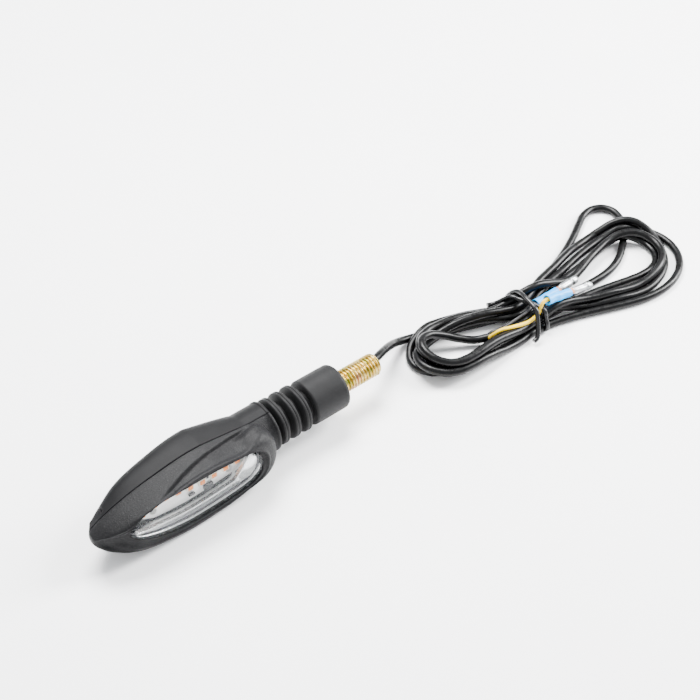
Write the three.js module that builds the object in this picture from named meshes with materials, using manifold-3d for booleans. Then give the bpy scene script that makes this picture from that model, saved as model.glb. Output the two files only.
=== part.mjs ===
// LED turn signal on a flexible rubber stem, with its hollow stud and hanked two-core lead.
// Lamp, stem and stud share one axis along +X, from the lamp's tip to the stud's end.
// The lens faces -Y, and the part lies on its lower edge at z = 0.
import * as THREE from 'three';
import * as BufferGeometryUtils from 'three/addons/utils/BufferGeometryUtils.js';
import Module from 'manifold-3d';

const wasm = await Module();
wasm.setup();

// ---- driving dimensions, millimetres ----
const lampLength = 78;          // tip to the start of the collar
const lampTop = 13.8;           // highest point of the lamp above the stem's axis
const lampBottom = 15.5;        // lowest point of the lamp below the stem's axis
const lampFront = 15.5;         // front face of the cover, from the stem's axis
const lampBack = 12.6;          // back of the housing, from the stem's axis
const collarLength = 9.2;
const collarRadius = 10.6;
const collarLip = 3.2;          // narrow mouth that holds the stem's plug
const wall = 2.2;               // moulded wall of housing and cover
const partingDepth = 3;         // parting plane in front of the stem's axis
const clearance = 0.3;          // between pieces that meet

const ribCount = 3;
const ribPitch = 5.6;
const ribRadius = 10.2;
const ribCrest = 2.9;           // length of a rib at its crest
const ribRootLength = 3.9;      // length of a rib at its root
const ribRootRadius = 6.5;
const sleeveLength = 17.3;
const sleeveRadius = 9.9;
const sleeveEdge = 1.2;         // rounding of the sleeve's ends
const leadBore = 2.2;           // radius of the bore through the rubber

const threadRadius = 5;         // M10 thread, coarse
const threadPitch = 1.5;
const threadDepth = 0.8;
const studLength = 19.5;        // stud beyond the hex head
const shankLength = 1;          // plain part between the hex head and the thread
const chamfer = 1;              // on the stud's end
const studBore = 3.4;           // radius of the bore through the stud
const hexFlats = 14;            // across flats
const hexHeight = 7;
const hexProud = 1;             // how far the hex stands out of the sleeve
const studFlangeRadius = 8;     // flange bonded in the sleeve
const studFlangeLength = 2;

const windowClearance = 0.25;   // lens to window edge
const lensThickness = 2.3;
const lensInset = 0.3;          // lens face behind the front face
const sealThickness = 0.8;
const sealWidth = 1.9;
const boardThickness = 1.6;
const boardDepth = 9;           // front face of the board, from the stem's axis
const boardEdge = 1.6;          // board's outline inside the window's
const troughHeight = 5.2;       // reflector's height along the lower edge
const troughWall = 1;
const troughDepth = 4.6;

const ledCount = 9;
const ledSize = [3.2, 1.3, 2.8];
const resistorSize = [1.6, 0.6, 1.0];
const driverSize = [4.2, 1.4, 3.4];
const diodeSize = [2.8, 1.2, 1.8];

const cordRadius = 1.8;
const coreRadius = 0.85;
const hankHeight = 9;
const tieThickness = 1.2;
const tieWidth = 2.2;
const crimpRadius = 2.1;
const crimpLength = 14;
const bulletRadius = 1.9;
const bulletLength = 13;

// ---- places along the axis, from the lamp's tip ----
const collarEnd = lampLength + collarLength;
const groove = ribPitch - ribRootLength / 2 - ribCrest / 2;
const firstRib = collarEnd + groove + ribCrest / 2;
const sleeveStart = firstRib + ribCount * ribPitch - ribCrest / 2;
const sleeveEnd = sleeveStart + sleeveLength;
const hexEnd = sleeveEnd + hexProud;
const studEnd = hexEnd + studLength;

// ---- materials ----
function finish(color, roughness, metalness = 0, extra = {}) {
  return new THREE.MeshStandardMaterial({ color, roughness, metalness, ...extra });
}
const materials = {
  housing: finish('#3c3d3f', 0.6),
  cover: finish('#37383a', 0.65),
  rubber: finish('#2f3032', 0.85),
  lens: finish('#e9edf0', 0.1, 0, { transparent: true, opacity: 0.35 }),
  seal: finish('#2a2a2c', 0.8),
  chrome: finish('#dcdfe2', 0.12, 1),
  board: finish('#e6e8e6', 0.5),
  amber: finish('#f0953c', 0.4),
  component: finish('#2b2b2e', 0.5),
  zinc: finish('#c9a94e', 0.3, 1),
  sheath: finish('#1d1d1f', 0.4),
  yellow: finish('#f2b91f', 0.45),
  black: finish('#18181a', 0.45),
  blue: finish('#2aa5e0', 0.45),
  tin: finish('#c4c6c8', 0.3, 1),
};

// ---- helpers ----
function solid(geometry) {
  const bare = geometry.clone();
  bare.deleteAttribute('normal');
  bare.deleteAttribute('uv');
  const places = bare.attributes.position.array;
  for (let i = 0; i < places.length; i++) places[i] = Math.round(places[i] * 1e4) / 1e4;
  const merged = BufferGeometryUtils.mergeVertices(bare, 1e-5);
  return new wasm.Manifold(new wasm.Mesh({
    numProp: 3,
    vertProperties: new Float32Array(merged.attributes.position.array),
    triVerts: new Uint32Array(merged.index.array),
  }));
}

function surface(body) {
  const mesh = body.getMesh();
  const geometry = new THREE.BufferGeometry();
  const places = new Float32Array(mesh.numVert * 3);
  for (let i = 0; i < mesh.numVert; i++) {
    for (let k = 0; k < 3; k++) places[3 * i + k] = mesh.vertProperties[mesh.numProp * i + k];
  }
  geometry.setAttribute('position', new THREE.BufferAttribute(places, 3));
  geometry.setIndex(new THREE.BufferAttribute(new Uint32Array(mesh.triVerts), 1));
  geometry.computeVertexNormals();
  return geometry;
}

// closed loft through rings of equal length, listed along +X, each running from +Y towards +Z
function loft(rings) {
  const count = rings[0].length;
  const places = rings.flat().flatMap((point) => [point.x, point.y, point.z]);
  const faces = [];
  for (let i = 0; i < rings.length - 1; i++) {
    for (let k = 0; k < count; k++) {
      const next = (k + 1) % count;
      const [a, b, c, d] = [i * count + k, i * count + next, (i + 1) * count + next, (i + 1) * count + k];
      faces.push(a, b, c, a, c, d);
    }
  }
  for (const end of [0, rings.length - 1]) {
    for (let k = 1; k < count - 1; k++) {
      const fan = [end * count, end * count + k, end * count + k + 1];
      faces.push(...(end === 0 ? fan.reverse() : fan));
    }
  }
  const geometry = new THREE.BufferGeometry();
  geometry.setAttribute('position', new THREE.Float32BufferAttribute(places, 3));
  geometry.setIndex(faces);
  return geometry;
}

// profile of [x along the axis, radius] pairs, turned about the X axis
function turned(profile, segments = 32) {
  const points = profile.map(([along, radius]) => new THREE.Vector2(radius, along));
  return new THREE.LatheGeometry(points, segments).rotateZ(-Math.PI / 2);
}

function rod(start, end, radius, segments = 24) {
  return turned([[start, 0], [start, radius], [end, radius], [end, 0]], segments);
}

// prism of an x-z outline between two depths, front being the lower y
function prism(outline, front, back) {
  const shape = new THREE.Shape(outline.map(([x, z]) => new THREE.Vector2(x, z)));
  const geometry = new THREE.ExtrudeGeometry(shape, { depth: back - front, bevelEnabled: false });
  return geometry.rotateX(Math.PI / 2).translate(0, back, 0);
}

function block(size, centre) {
  return new THREE.BoxGeometry(...size).translate(...centre);
}

function gapToEdge([x, z], outline) {
  return Math.min(...outline.map(([x0, z0], i) => {
    const [x1, z1] = outline[(i + 1) % outline.length];
    const [dx, dz] = [x1 - x0, z1 - z0];
    const t = Math.min(1, Math.max(0, ((x - x0) * dx + (z - z0) * dz) / (dx * dx + dz * dz)));
    return Math.hypot(x - x0 - t * dx, z - z0 - t * dz);
  }));
}

// outline moved inwards by a distance, for an outline that runs anticlockwise
function inward(outline, distance) {
  const count = outline.length;
  return outline.map(([x, z], i) => {
    const [x0, z0] = outline[(i + count - 1) % count];
    const [x1, z1] = outline[(i + 1) % count];
    const run = Math.hypot(x1 - x0, z1 - z0);
    return [x - distance * (z1 - z0) / run, z + distance * (x1 - x0) / run];
  }).filter((point) => gapToEdge(point, outline) > 0.97 * distance);
}

// value at x on a smooth curve through [x, value] pairs, which never passes beyond them
function along(pairs) {
  const points = pairs.map(([x, value]) => new THREE.Vector2(x, value));
  return (x) => {
    if (x <= points[0].x) return points[0].y;
    for (let i = 0; i < points.length - 1; i++) {
      const [a, b] = [points[i], points[i + 1]];
      if (x > b.x) continue;
      const slope = (p, q) => (q.y - p.y) / (q.x - p.x);
      const blend = (m, n) => (m * n > 0 ? 2 * m * n / (m + n) : 0);
      const here = slope(a, b);
      const m0 = i > 0 ? blend(slope(points[i - 1], a), here) : here;
      const m1 = i < points.length - 2 ? blend(slope(b, points[i + 2]), here) : here;
      const span = b.x - a.x;
      const t = (x - a.x) / span;
      return (2 * t ** 3 - 3 * t ** 2 + 1) * a.y + (t ** 3 - 2 * t ** 2 + t) * span * m0
        + (3 * t ** 2 - 2 * t ** 3) * b.y + (t ** 3 - t ** 2) * span * m1;
    }
    return points[points.length - 1].y;
  };
}

const nodes = new THREE.Group();
function place(name, geometry, material, into = nodes) {
  const mesh = new THREE.Mesh(geometry, material);
  mesh.name = name;
  into.add(mesh);
  return mesh;
}

// ---- lamp body: one lofted form, its outline given in shares of the lamp's own size ----
const lx = (share) => share * lampLength;
const topEdge = along([
  [0, 0.1 * lampTop], [lx(0.08), 0.35 * lampTop], [lx(0.22), 0.62 * lampTop], [lx(0.4), 0.84 * lampTop],
  [lx(0.63), lampTop], [lx(0.74), 0.96 * lampTop], [lx(0.9), collarRadius * 1.04],
  [lampLength, collarRadius], [collarEnd, collarRadius],
]);
const bottomEdge = along([
  [0, -0.14 * lampBottom], [lx(0.04), -0.34 * lampBottom], [lx(0.12), -0.54 * lampBottom],
  [lx(0.3), -0.83 * lampBottom], [lx(0.53), -lampBottom], [lx(0.74), -0.92 * lampBottom],
  [lx(0.93), -collarRadius * 1.04], [lampLength + 2, -collarRadius], [collarEnd, -collarRadius],
]);
const backEdge = along([
  [0, 0.06 * lampBack], [lx(0.05), 0.26 * lampBack], [lx(0.21), 0.58 * lampBack],
  [lx(0.4), 0.81 * lampBack], [lx(0.68), lampBack], [lx(0.88), 0.88 * lampBack],
  [lampLength + 2, collarRadius], [collarEnd, collarRadius],
]);
const frontEdge = along([
  [0, 0.5 * lampFront], [lx(0.06), 0.82 * lampFront], [lx(0.13), 0.98 * lampFront],
  [lx(0.18), lampFront], [lx(0.97), lampFront], [lampLength + 2.5, 0.9 * lampFront],
  [lampLength + 5.5, collarRadius * 1.04], [collarEnd, collarRadius],
]);
const squareness = along([[0, 2.6], [lx(0.2), 3.4], [lx(0.8), 3.2], [lampLength + 3, 2], [collarEnd, 2]]);
const frontSquareness = along([[0, 3], [lx(0.2), 6], [lx(0.95), 6], [lampLength + 5, 2], [collarEnd, 2]]);

function bodyRing(x, inset) {
  const count = 40;
  const top = topEdge(x) - inset;
  const bottom = bottomEdge(x) + inset;
  const [back, front] = [backEdge(x) - inset, frontEdge(x) - inset];
  const [middle, half] = [(top + bottom) / 2, (top - bottom) / 2];
  return Array.from({ length: count }, (_, k) => {
    const angle = 2 * Math.PI * k / count;
    const [c, s] = [Math.cos(angle), Math.sin(angle)];
    const power = 2 / (c >= 0 ? squareness(x) : frontSquareness(x));
    const y = (c >= 0 ? back : -front) * Math.abs(c) ** power;
    return new THREE.Vector3(x, y, middle + half * Math.sign(s) * Math.abs(s) ** power);
  });
}

const bodyStations = [0, 0.02, 0.05, 0.09, 0.14, 0.2, 0.28, 0.36, 0.45, 0.54, 0.63, 0.7, 0.78, 0.86, 0.93]
  .map(lx).concat([0, 1.5, 3, 4.5, 6, 7.5].map((step) => lampLength + step), collarEnd);
const cavityStart = lx(0.12);
const cavityEnd = collarEnd - collarLip;
const cavityStations = [
  cavityStart, ...bodyStations.filter((x) => x > cavityStart + 1 && x < cavityEnd - 0.5), cavityEnd,
];
const outerBody = solid(loft(bodyStations.map((x) => bodyRing(x, 0))));
const cavity = solid(loft(cavityStations.map((x) => bodyRing(x, wall))));
const plugNeckRadius = ribRootRadius;
const collarBore = solid(rod(cavityEnd - 1, collarEnd + 1, plugNeckRadius + clearance, 32));
const shell = outerBody.subtract(cavity).subtract(collarBore);

// leaf shaped window: a blunt point at the tip, a straight upper edge and a long curved lower edge
const windowTop = 0.61 * lampTop;
const windowBottom = 0.685 * lampBottom;
function windowOutline() {
  const upper = [[0.96, 0.1], [0.945, 0.55], [0.9, 0.93], [0.86, 1], [0.62, 1.07], [0.4, 1.21], [0.345, 1.2],
    [0.24, 0.78], [0.19, 0.38]].map(([x, z]) => [lx(x), z * windowTop]);
  const lower = [[0.155, -0.02], [0.22, -0.42], [0.33, -0.78], [0.48, -0.98], [0.62, -1], [0.8, -0.9],
    [0.9, -0.72], [0.945, -0.4]].map(([x, z]) => [lx(x), z * windowBottom]);
  const curve = new THREE.CatmullRomCurve3(
    [...upper, ...lower].map(([x, z]) => new THREE.Vector3(x, z, 0)), true, 'centripetal');
  return curve.getPoints(56).slice(0, -1).map((point) => [point.x, point.y]);
}
const windowEdge = windowOutline();

// two halves, parted in front of the axis, with the board's posts in the back one
const far = 100;
const lampHalf = (front, back) => solid(
  block([4 * far, back - front, 2 * far], [lx(0.5), (front + back) / 2, 0]));
const partingGap = clearance / 2;
const postRadius = 1.4;
const stalkRadius = 2.4;
const troughTop = (x) => bottomEdge(x) * 0.685 + troughHeight;
const postPlaces = [[lx(0.34), -0.02 * lampTop], [lx(0.8), -0.05 * lampTop]]
  .map(([x, z]) => [x, Math.max(z, troughTop(x) + stalkRadius + clearance)]);
const boardBack = -boardDepth + boardThickness;
let rearHousing = shell.intersect(lampHalf(-partingDepth + partingGap, far));
for (const [x, z] of postPlaces) {
  const seat = backEdge(x) - wall / 2;
  const stalk = new THREE.CylinderGeometry(stalkRadius, stalkRadius, seat - boardBack - clearance, 16)
    .translate(x, (seat + boardBack + clearance) / 2, z);
  const pin = new THREE.CylinderGeometry(postRadius, postRadius, seat - boardBack + boardThickness + 0.6, 16)
    .translate(x, (seat + boardBack - boardThickness - 0.6) / 2, z);
  rearHousing = rearHousing.add(solid(stalk)).add(solid(pin));
}
const windowCut = solid(prism(windowEdge, -far, -partingDepth));
const frontCover = shell.intersect(lampHalf(-far, -partingDepth - partingGap)).subtract(windowCut);
place('rear_housing', surface(rearHousing), materials.housing);
place('front_cover', surface(frontCover), materials.cover);

// lens, seal, reflector and board stack behind the window
const lensFront = -lampFront + lensInset;
const lensBack = lensFront + lensThickness;
place('lens', prism(inward(windowEdge, windowClearance), lensFront, lensBack), materials.lens);

const sealFront = lensBack + clearance;
const sealBody = solid(prism(inward(windowEdge, clearance), sealFront, sealFront + sealThickness))
  .subtract(solid(prism(inward(windowEdge, clearance + sealWidth), -far, far)));
place('lens_seal', surface(sealBody), materials.seal);

// reflector: an open trough along the lower edge of the window
const troughFront = sealFront + sealThickness + clearance;
function troughOutline(inset) {
  const left = lx(0.27);
  const right = lx(0.93);
  const within = ([x, z]) => x > left + inset && x < right - inset
    && z < Math.min(0, troughTop(x) - inset - 0.5);
  const lower = inward(windowEdge, boardEdge + inset).filter(within);
  const upper = lower.map(([x]) => [x, troughTop(x) - inset]).reverse();
  return [...lower, ...upper];
}
const reflector = solid(prism(troughOutline(0), troughFront, troughFront + troughDepth))
  .subtract(solid(prism(troughOutline(troughWall), -far, troughFront + troughDepth - troughWall)));
place('reflector', surface(reflector), materials.chrome);

// board: the window's leaf, cut off above the reflector
const boardShape = inward(windowEdge, boardEdge);
const boardLow = -0.02 * windowBottom;
const aboveTrough = [0.34, 0.43, 0.53, 0.66, 0.8, 0.87, 0.93]
  .map((share) => [lx(share), troughTop(lx(share)) + clearance]);
const boardKeep = solid(prism([
  [-far, boardLow], [lx(0.26), boardLow], ...aboveTrough,
  [lx(0.97), troughTop(lx(0.93)) + 3 * clearance], [far, far], [-far, far],
], -far, far));
let board = solid(prism(boardShape, -boardDepth, boardBack)).intersect(boardKeep);
const postHole = postRadius + clearance;
for (const [x, z] of postPlaces) {
  const hole = new THREE.CylinderGeometry(postHole, postHole, far, 16).translate(x, 0, z);
  board = board.subtract(solid(hole));
}
place('circuit_board', surface(board), materials.board);

// light-emitting diodes in a row under the visor, with the small parts between and below them
const ledSpan = [lx(0.27), lx(0.84)];
const ledRow = along([[lx(0.27), 0.17 * lampTop], [lx(0.4), 0.34 * lampTop], [lx(0.63), 0.14 * lampTop],
  [lx(0.84), 0.19 * lampTop]]);
const onBoard = (size, x, z) => block(size, [x, -boardDepth - clearance - size[1] / 2, z]);
const ledPitch = (ledSpan[1] - ledSpan[0]) / (ledCount - 1);
for (let i = 0; i < ledCount; i++) {
  const x = ledSpan[0] + i * ledPitch;
  place(`led_${i + 1}`, onBoard(ledSize, x, ledRow(x)), materials.amber);
}
[1, 3, 5, 7].forEach((gap, i) => {
  const x = ledSpan[0] + (gap + 0.5) * ledPitch;
  place(`resistor_${i + 1}`, onBoard(resistorSize, x, ledRow(x) + 0.3), materials.component);
});
function underRow(name, size, x) {
  const z = Math.max(ledRow(x) - driverSize[2] - 0.6, troughTop(x) + size[2] / 2 + clearance);
  place(name, onBoard(size, x, z), materials.component);
}
underRow('driver_chip', driverSize, lx(0.66));
underRow('polarity_diode', diodeSize, lx(0.56));

// ---- rubber stem: one moulding on the real lamp, parted here in the middle of each groove ----
const stubGap = 0.85;           // from a groove's middle to the stub of the rubber beside it
const bore = (from, to, radius) => solid(rod(from - 1, to + 1, radius, 16));
const grooveMiddle = (index) => firstRib + index * ribPitch - ribPitch / 2;
const plugStart = cavityEnd - 5;
const plugEnd = grooveMiddle(0) - stubGap;
const plug = solid(turned([[plugStart, 0], [plugStart, plugNeckRadius],
  [cavityEnd - 4, collarRadius - wall - clearance], [cavityEnd - clearance, collarRadius - wall - clearance],
  [cavityEnd - clearance, plugNeckRadius], [plugEnd, plugNeckRadius], [plugEnd, 0]]))
  .subtract(bore(plugStart, plugEnd, leadBore));
place('stem_plug', surface(plug), materials.rubber);

for (let i = 0; i < ribCount; i++) {
  const centre = firstRib + i * ribPitch;
  const half = ribPitch / 2 - stubGap;
  const rib = solid(turned([[centre - half, 0], [centre - half, ribRootRadius],
    [centre - ribRootLength / 2, ribRootRadius], [centre - ribCrest / 2, ribRadius - 0.7],
    [centre - ribCrest / 2 + 0.7, ribRadius], [centre + ribCrest / 2 - 0.7, ribRadius],
    [centre + ribCrest / 2, ribRadius - 0.7], [centre + ribRootLength / 2, ribRootRadius],
    [centre + half, ribRootRadius], [centre + half, 0]]))
    .subtract(bore(centre - half, centre + half, leadBore));
  place(`stem_rib_${i + 1}`, surface(rib), materials.rubber);
}

// ---- hollow stud with its hex head in the sleeve's mouth ----
const hexStart = hexEnd - hexHeight;
const hexRadius = hexFlats / Math.sqrt(3);
function hexBar(start, end, radius) {
  return rod(start, end, radius, 6);
}
function threadProfile() {
  const crest = threadRadius;
  const root = threadRadius - threadDepth;
  const threadStart = hexEnd + shankLength;
  const points = [[hexEnd - 0.5, 0], [hexEnd - 0.5, crest], [threadStart - 0.4 * threadPitch, crest],
    [threadStart, root]];
  const turns = Math.floor((studEnd - chamfer - threadStart) / threadPitch);
  for (let i = 0; i < turns; i++) {
    const start = threadStart + i * threadPitch;
    points.push([start + 0.4 * threadPitch, crest], [start + 0.5 * threadPitch, crest],
      [start + 0.9 * threadPitch, root]);
  }
  points.push([studEnd - chamfer / 2, root], [studEnd, root - chamfer / 4], [studEnd, 0]);
  return points;
}
const flangeStart = hexStart - studFlangeLength;
const stud = solid(turned(threadProfile(), 28))
  .add(solid(hexBar(hexStart, hexEnd, hexRadius)))
  .add(solid(rod(flangeStart, hexStart + 0.5, studFlangeRadius, 28)))
  .subtract(bore(flangeStart, studEnd, studBore));
place('threaded_stud', surface(stud), materials.zinc);

const sleeveStub = grooveMiddle(ribCount) + stubGap;
const sleeveProfile = [[sleeveStub, 0], [sleeveStub, ribRootRadius], [sleeveStart, ribRootRadius],
  [sleeveStart, sleeveRadius - sleeveEdge / 2], [sleeveStart + sleeveEdge / 2, sleeveRadius],
  [sleeveEnd - sleeveEdge, sleeveRadius], [sleeveEnd - 0.3 * sleeveEdge, sleeveRadius - 0.3 * sleeveEdge],
  [sleeveEnd, sleeveRadius - sleeveEdge], [sleeveEnd, 0]];
const sleeve = solid(turned(sleeveProfile))
  .subtract(solid(rod(flangeStart - clearance, sleeveEnd + 1, studFlangeRadius + clearance, 28)))
  .subtract(bore(sleeveStub, sleeveEnd, leadBore));
place('stem_sleeve', surface(sleeve), materials.rubber);

// ---- the lead where the lamp, the stem and the stud hold it, a length for each piece that bends ----
const leadStart = plugStart - 3;
place('lead_in_collar', rod(leadStart, plugEnd, cordRadius, 12), materials.sheath);
for (let i = 0; i < ribCount; i++) {
  const centre = firstRib + i * ribPitch;
  const half = ribPitch / 2 - stubGap;
  place(`lead_in_rib_${i + 1}`, rod(centre - half, centre + half, cordRadius, 12), materials.sheath);
}
place('lead_in_stud', rod(sleeveStub, studEnd, cordRadius, 12), materials.sheath);

// a round tube along a path, drawn with as many steps as it needs
function tube(points, radius, steps, sides = 8) {
  const section = new THREE.Shape().absarc(0, 0, radius, 0, 2 * Math.PI, false);
  const extrudePath = new THREE.CatmullRomCurve3(points.map((point) => new THREE.Vector3(...point)));
  const options = { steps, extrudePath, curveSegments: sides, bevelEnabled: false };
  return new THREE.ExtrudeGeometry(section, options);
}
[['yellow', 1], ['black', -1]].forEach(([colour, side]) => {
  const path = [[leadStart - clearance, 0, side * 0.95], [leadStart - 3, -0.6, side * 1.5],
    [leadStart - 6, -2.2, side * 2.4], [leadStart - 7.5, boardBack + coreRadius + clearance, side * 2.6]];
  place(`board_wire_${colour}`, tube(path, coreRadius, 10), materials[colour]);
});

// the indicator's own box stands centred on the origin, with its lowest edge at z = 0
const lampShift = [-studEnd / 2, (lampFront - lampBack) / 2, lampBottom];
nodes.position.set(...lampShift);

// ---- free lead: from the stud's mouth down to the surface and into its hank ----
const lead = new THREE.Group();
const leadPath = [
  [72.3, 1.45, 15.5], [75.5, 1.8, 15.1], [79.5, 4.6, 12.9], [84, 8.4, 9.3],
  [89, 11.8, 5.6], [94.5, 14.2, 2.9], [99, 14.8, 2.1], [103, 14.2, 2.1],
];
place('lead_cord', tube(leadPath, cordRadius, 16), materials.sheath, lead);

// hank: a dog-bone outline, round at both ends and drawn in at the tie
const hank = {
  left: [107.3, -2.2], leftRadius: 14.8,
  right: [207, -3], rightRadius: 30.5,
  waist: [151.5, -7.5], waistHalf: 11.5,
};
function hankOutline() {
  const [leftX, leftY] = hank.left;
  const [rightX, rightY] = hank.right;
  const [waistX, waistY] = hank.waist;
  const ease = 20;
  const shape = new THREE.Shape();
  // an easy bend from one point to the next, level at both
  const bend = (x0, y0, x1, y1) => {
    const pull = Math.sign(x1 - x0) * ease;
    shape.bezierCurveTo(x0 + pull, y0, x1 - pull, y1, x1, y1);
  };
  shape.moveTo(leftX, leftY - hank.leftRadius);
  bend(leftX, leftY - hank.leftRadius, waistX, waistY - hank.waistHalf);
  bend(waistX, waistY - hank.waistHalf, rightX, rightY - hank.rightRadius);
  shape.absarc(rightX, rightY, hank.rightRadius, -Math.PI / 2, Math.PI / 2, false);
  bend(rightX, rightY + hank.rightRadius, waistX, waistY + hank.waistHalf);
  bend(waistX, waistY + hank.waistHalf, leftX, leftY + hank.leftRadius);
  shape.absarc(leftX, leftY, hank.leftRadius, Math.PI / 2, 1.5 * Math.PI, false);
  return shape;
}
const tieLow = 0.1;
const hankBody = solid(new THREE.ExtrudeGeometry(hankOutline(),
  { depth: hankHeight, bevelEnabled: false, curveSegments: 10 }))
  .subtract(solid(block([tieWidth + 2 * clearance, 2 * far, 2 * (tieLow + tieThickness + clearance)],
    [hank.waist[0], 0, 0])));
place('lead_hank', surface(hankBody), materials.sheath, lead);

// tie: a closed band through the hank's lower notch and over the cores on top
const coreTop = hankHeight + clearance + 2 * coreRadius;
function bandShape(inset) {
  const [, wy] = hank.waist;
  const half = hank.waistHalf + clearance + tieThickness - inset;
  const [low, high] = [tieLow + inset, coreTop + clearance + tieThickness - inset];
  const corner = tieThickness + clearance - inset;
  const shape = new THREE.Shape();
  shape.moveTo(wy - half + corner, low);
  shape.lineTo(wy + half - corner, low);
  shape.absarc(wy + half - corner, low + corner, corner, -Math.PI / 2, 0, false);
  shape.lineTo(wy + half, high - corner);
  shape.absarc(wy + half - corner, high - corner, corner, 0, Math.PI / 2, false);
  shape.lineTo(wy - half + corner, high);
  shape.absarc(wy - half + corner, high - corner, corner, Math.PI / 2, Math.PI, false);
  shape.lineTo(wy - half, low + corner);
  shape.absarc(wy - half + corner, low + corner, corner, Math.PI, 1.5 * Math.PI, false);
  return shape;
}
function band(inset, width) {
  const geometry = new THREE.ExtrudeGeometry(bandShape(inset),
    { depth: width, bevelEnabled: false, curveSegments: 4 });
  return solid(geometry.translate(0, 0, -width / 2).rotateX(Math.PI / 2).rotateZ(Math.PI / 2)
    .translate(hank.waist[0], 0, 0));
}
const tie = band(0, tieWidth).subtract(band(tieThickness, 3 * tieWidth));
place('hank_tie', surface(tie), materials.sheath, lead);

// the two cores, each with its crimp sleeve and bullet terminal, lie on the hank
const crimpHeight = hankHeight + clearance + crimpRadius;
const ends = [
  {
    colour: 'black', crimp: [155.5, -8.4], heading: 4,
    path: [[129, -8.2], [137, -9.6], [146, -9.8], [151, -9.2]],
  },
  {
    colour: 'yellow', crimp: [156.5, -14], heading: -2,
    path: [[128.7, -11.6], [135.5, -13.4], [144, -14.8], [151.5, -14.4]],
  },
];
ends.forEach(({ colour, crimp, heading, path }, i) => {
  const turn = heading * Math.PI / 180;
  const ahead = (distance) => [crimp[0] + distance * Math.cos(turn), crimp[1] + distance * Math.sin(turn)];
  const coreHeight = hankHeight + clearance + coreRadius;
  const route = path.map(([x, y]) => [x, y, coreHeight]).concat([[...ahead(-clearance), crimpHeight - 0.5]]);
  place(`core_${colour}`, tube(route, coreRadius, 14), materials[colour], lead);

  const sleeveShape = turned([[0, 0], [0, crimpRadius], [0.55 * crimpLength, crimpRadius],
    [0.62 * crimpLength, 0.8 * crimpRadius], [0.85 * crimpLength, 0.8 * crimpRadius],
    [crimpLength, 0.95 * crimpRadius], [crimpLength, 0]], 16);
  const insulator = place(`crimp_sleeve_${i + 1}`, sleeveShape, materials.blue, lead);
  insulator.rotation.z = turn;
  insulator.position.set(...crimp, crimpHeight);

  const bulletShape = turned([[0, 0], [0, 0.75 * bulletRadius], [0.2 * bulletLength, bulletRadius],
    [0.62 * bulletLength, bulletRadius], [0.68 * bulletLength, 0.8 * bulletRadius],
    [0.74 * bulletLength, bulletRadius], [0.92 * bulletLength, 0.9 * bulletRadius],
    [bulletLength, 0.5 * bulletRadius], [bulletLength, 0]], 16);
  const bullet = place(`bullet_terminal_${i + 1}`, bulletShape, materials.tin, lead);
  bullet.rotation.z = turn;
  bullet.position.set(...ahead(crimpLength + clearance), crimpHeight);
});

const indicator = new THREE.Group();
indicator.add(nodes, lead);
export default indicator;
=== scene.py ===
import math
import bmesh
import bpy
import numpy as np
from mathutils import Matrix, Vector


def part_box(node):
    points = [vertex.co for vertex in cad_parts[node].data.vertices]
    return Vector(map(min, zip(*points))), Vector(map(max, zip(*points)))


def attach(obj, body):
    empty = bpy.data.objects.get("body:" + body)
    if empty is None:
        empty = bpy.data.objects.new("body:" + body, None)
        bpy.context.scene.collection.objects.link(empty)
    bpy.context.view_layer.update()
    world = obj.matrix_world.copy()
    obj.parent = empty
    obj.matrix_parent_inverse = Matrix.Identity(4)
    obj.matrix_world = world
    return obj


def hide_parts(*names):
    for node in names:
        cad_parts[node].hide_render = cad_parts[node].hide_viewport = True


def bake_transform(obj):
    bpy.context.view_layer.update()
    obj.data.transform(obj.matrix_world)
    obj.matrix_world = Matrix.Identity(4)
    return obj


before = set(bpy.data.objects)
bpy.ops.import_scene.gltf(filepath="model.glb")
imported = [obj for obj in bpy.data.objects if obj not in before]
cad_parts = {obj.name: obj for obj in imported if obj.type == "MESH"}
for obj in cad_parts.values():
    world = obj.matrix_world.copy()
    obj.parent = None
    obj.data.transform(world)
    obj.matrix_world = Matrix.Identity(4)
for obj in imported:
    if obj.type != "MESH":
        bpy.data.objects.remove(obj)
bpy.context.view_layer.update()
mm = 0.001
perMm = 1 / mm

# where the lamp's own axes lie in the part: x from the tip, y from the axis to the back, z up
axisY, axisZ = 1.45, 15.5
lampOrigin = Vector((-72, axisY, axisZ))


# an sRGB hex colour as linear RGBA
def linearColour(code):
    parts = [int(code[i:i + 2], 16) / 255 for i in (1, 3, 5)]
    return [c / 12.92 if c <= 0.04045 else ((c + 0.055) / 1.055) ** 2.4 for c in parts] + [1]


# adds a node with its settings and a ramp's stops; an input is a value, or a node or socket to link from
def addNode(tree, kind, settings=None, stops=(), **inputs):
    node = tree.nodes.new("ShaderNode" + kind)
    for name, value in (settings or {}).items():
        setattr(node, name, value)
    ramp = node.color_ramp.elements if stops else []
    while len(ramp) < len(stops):
        ramp.new(0.5)
    for stop, (position, code) in zip(ramp, stops):
        stop.position = position
        stop.color = linearColour(code)
    for name, value in inputs.items():
        key = int(name[1:]) if name[1:].isdigit() else name.replace("_", " ")
        if isinstance(value, bpy.types.Node):
            value = value.outputs[0]
        if isinstance(value, bpy.types.NodeSocket):
            tree.links.new(value, node.inputs[key])
        else:
            node.inputs[key].default_value = value
    return node


# a material whose surface a finish function describes, as inputs of the shader
def newMaterial(name, finish, look):
    material = bpy.data.materials.new(name)
    material.use_nodes = True
    tree = material.node_tree
    tree.nodes.clear()
    place = addNode(tree, "TexCoord").outputs["Object"]
    shader = addNode(tree, "BsdfPrincipled", **finish(tree, place, look))
    addNode(tree, "OutputMaterial", Surface=shader)
    return material


# the stretch of a noise's values that most of it lies in
usual = {"From_Min": 0.3, "From_Max": 0.7}


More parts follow.
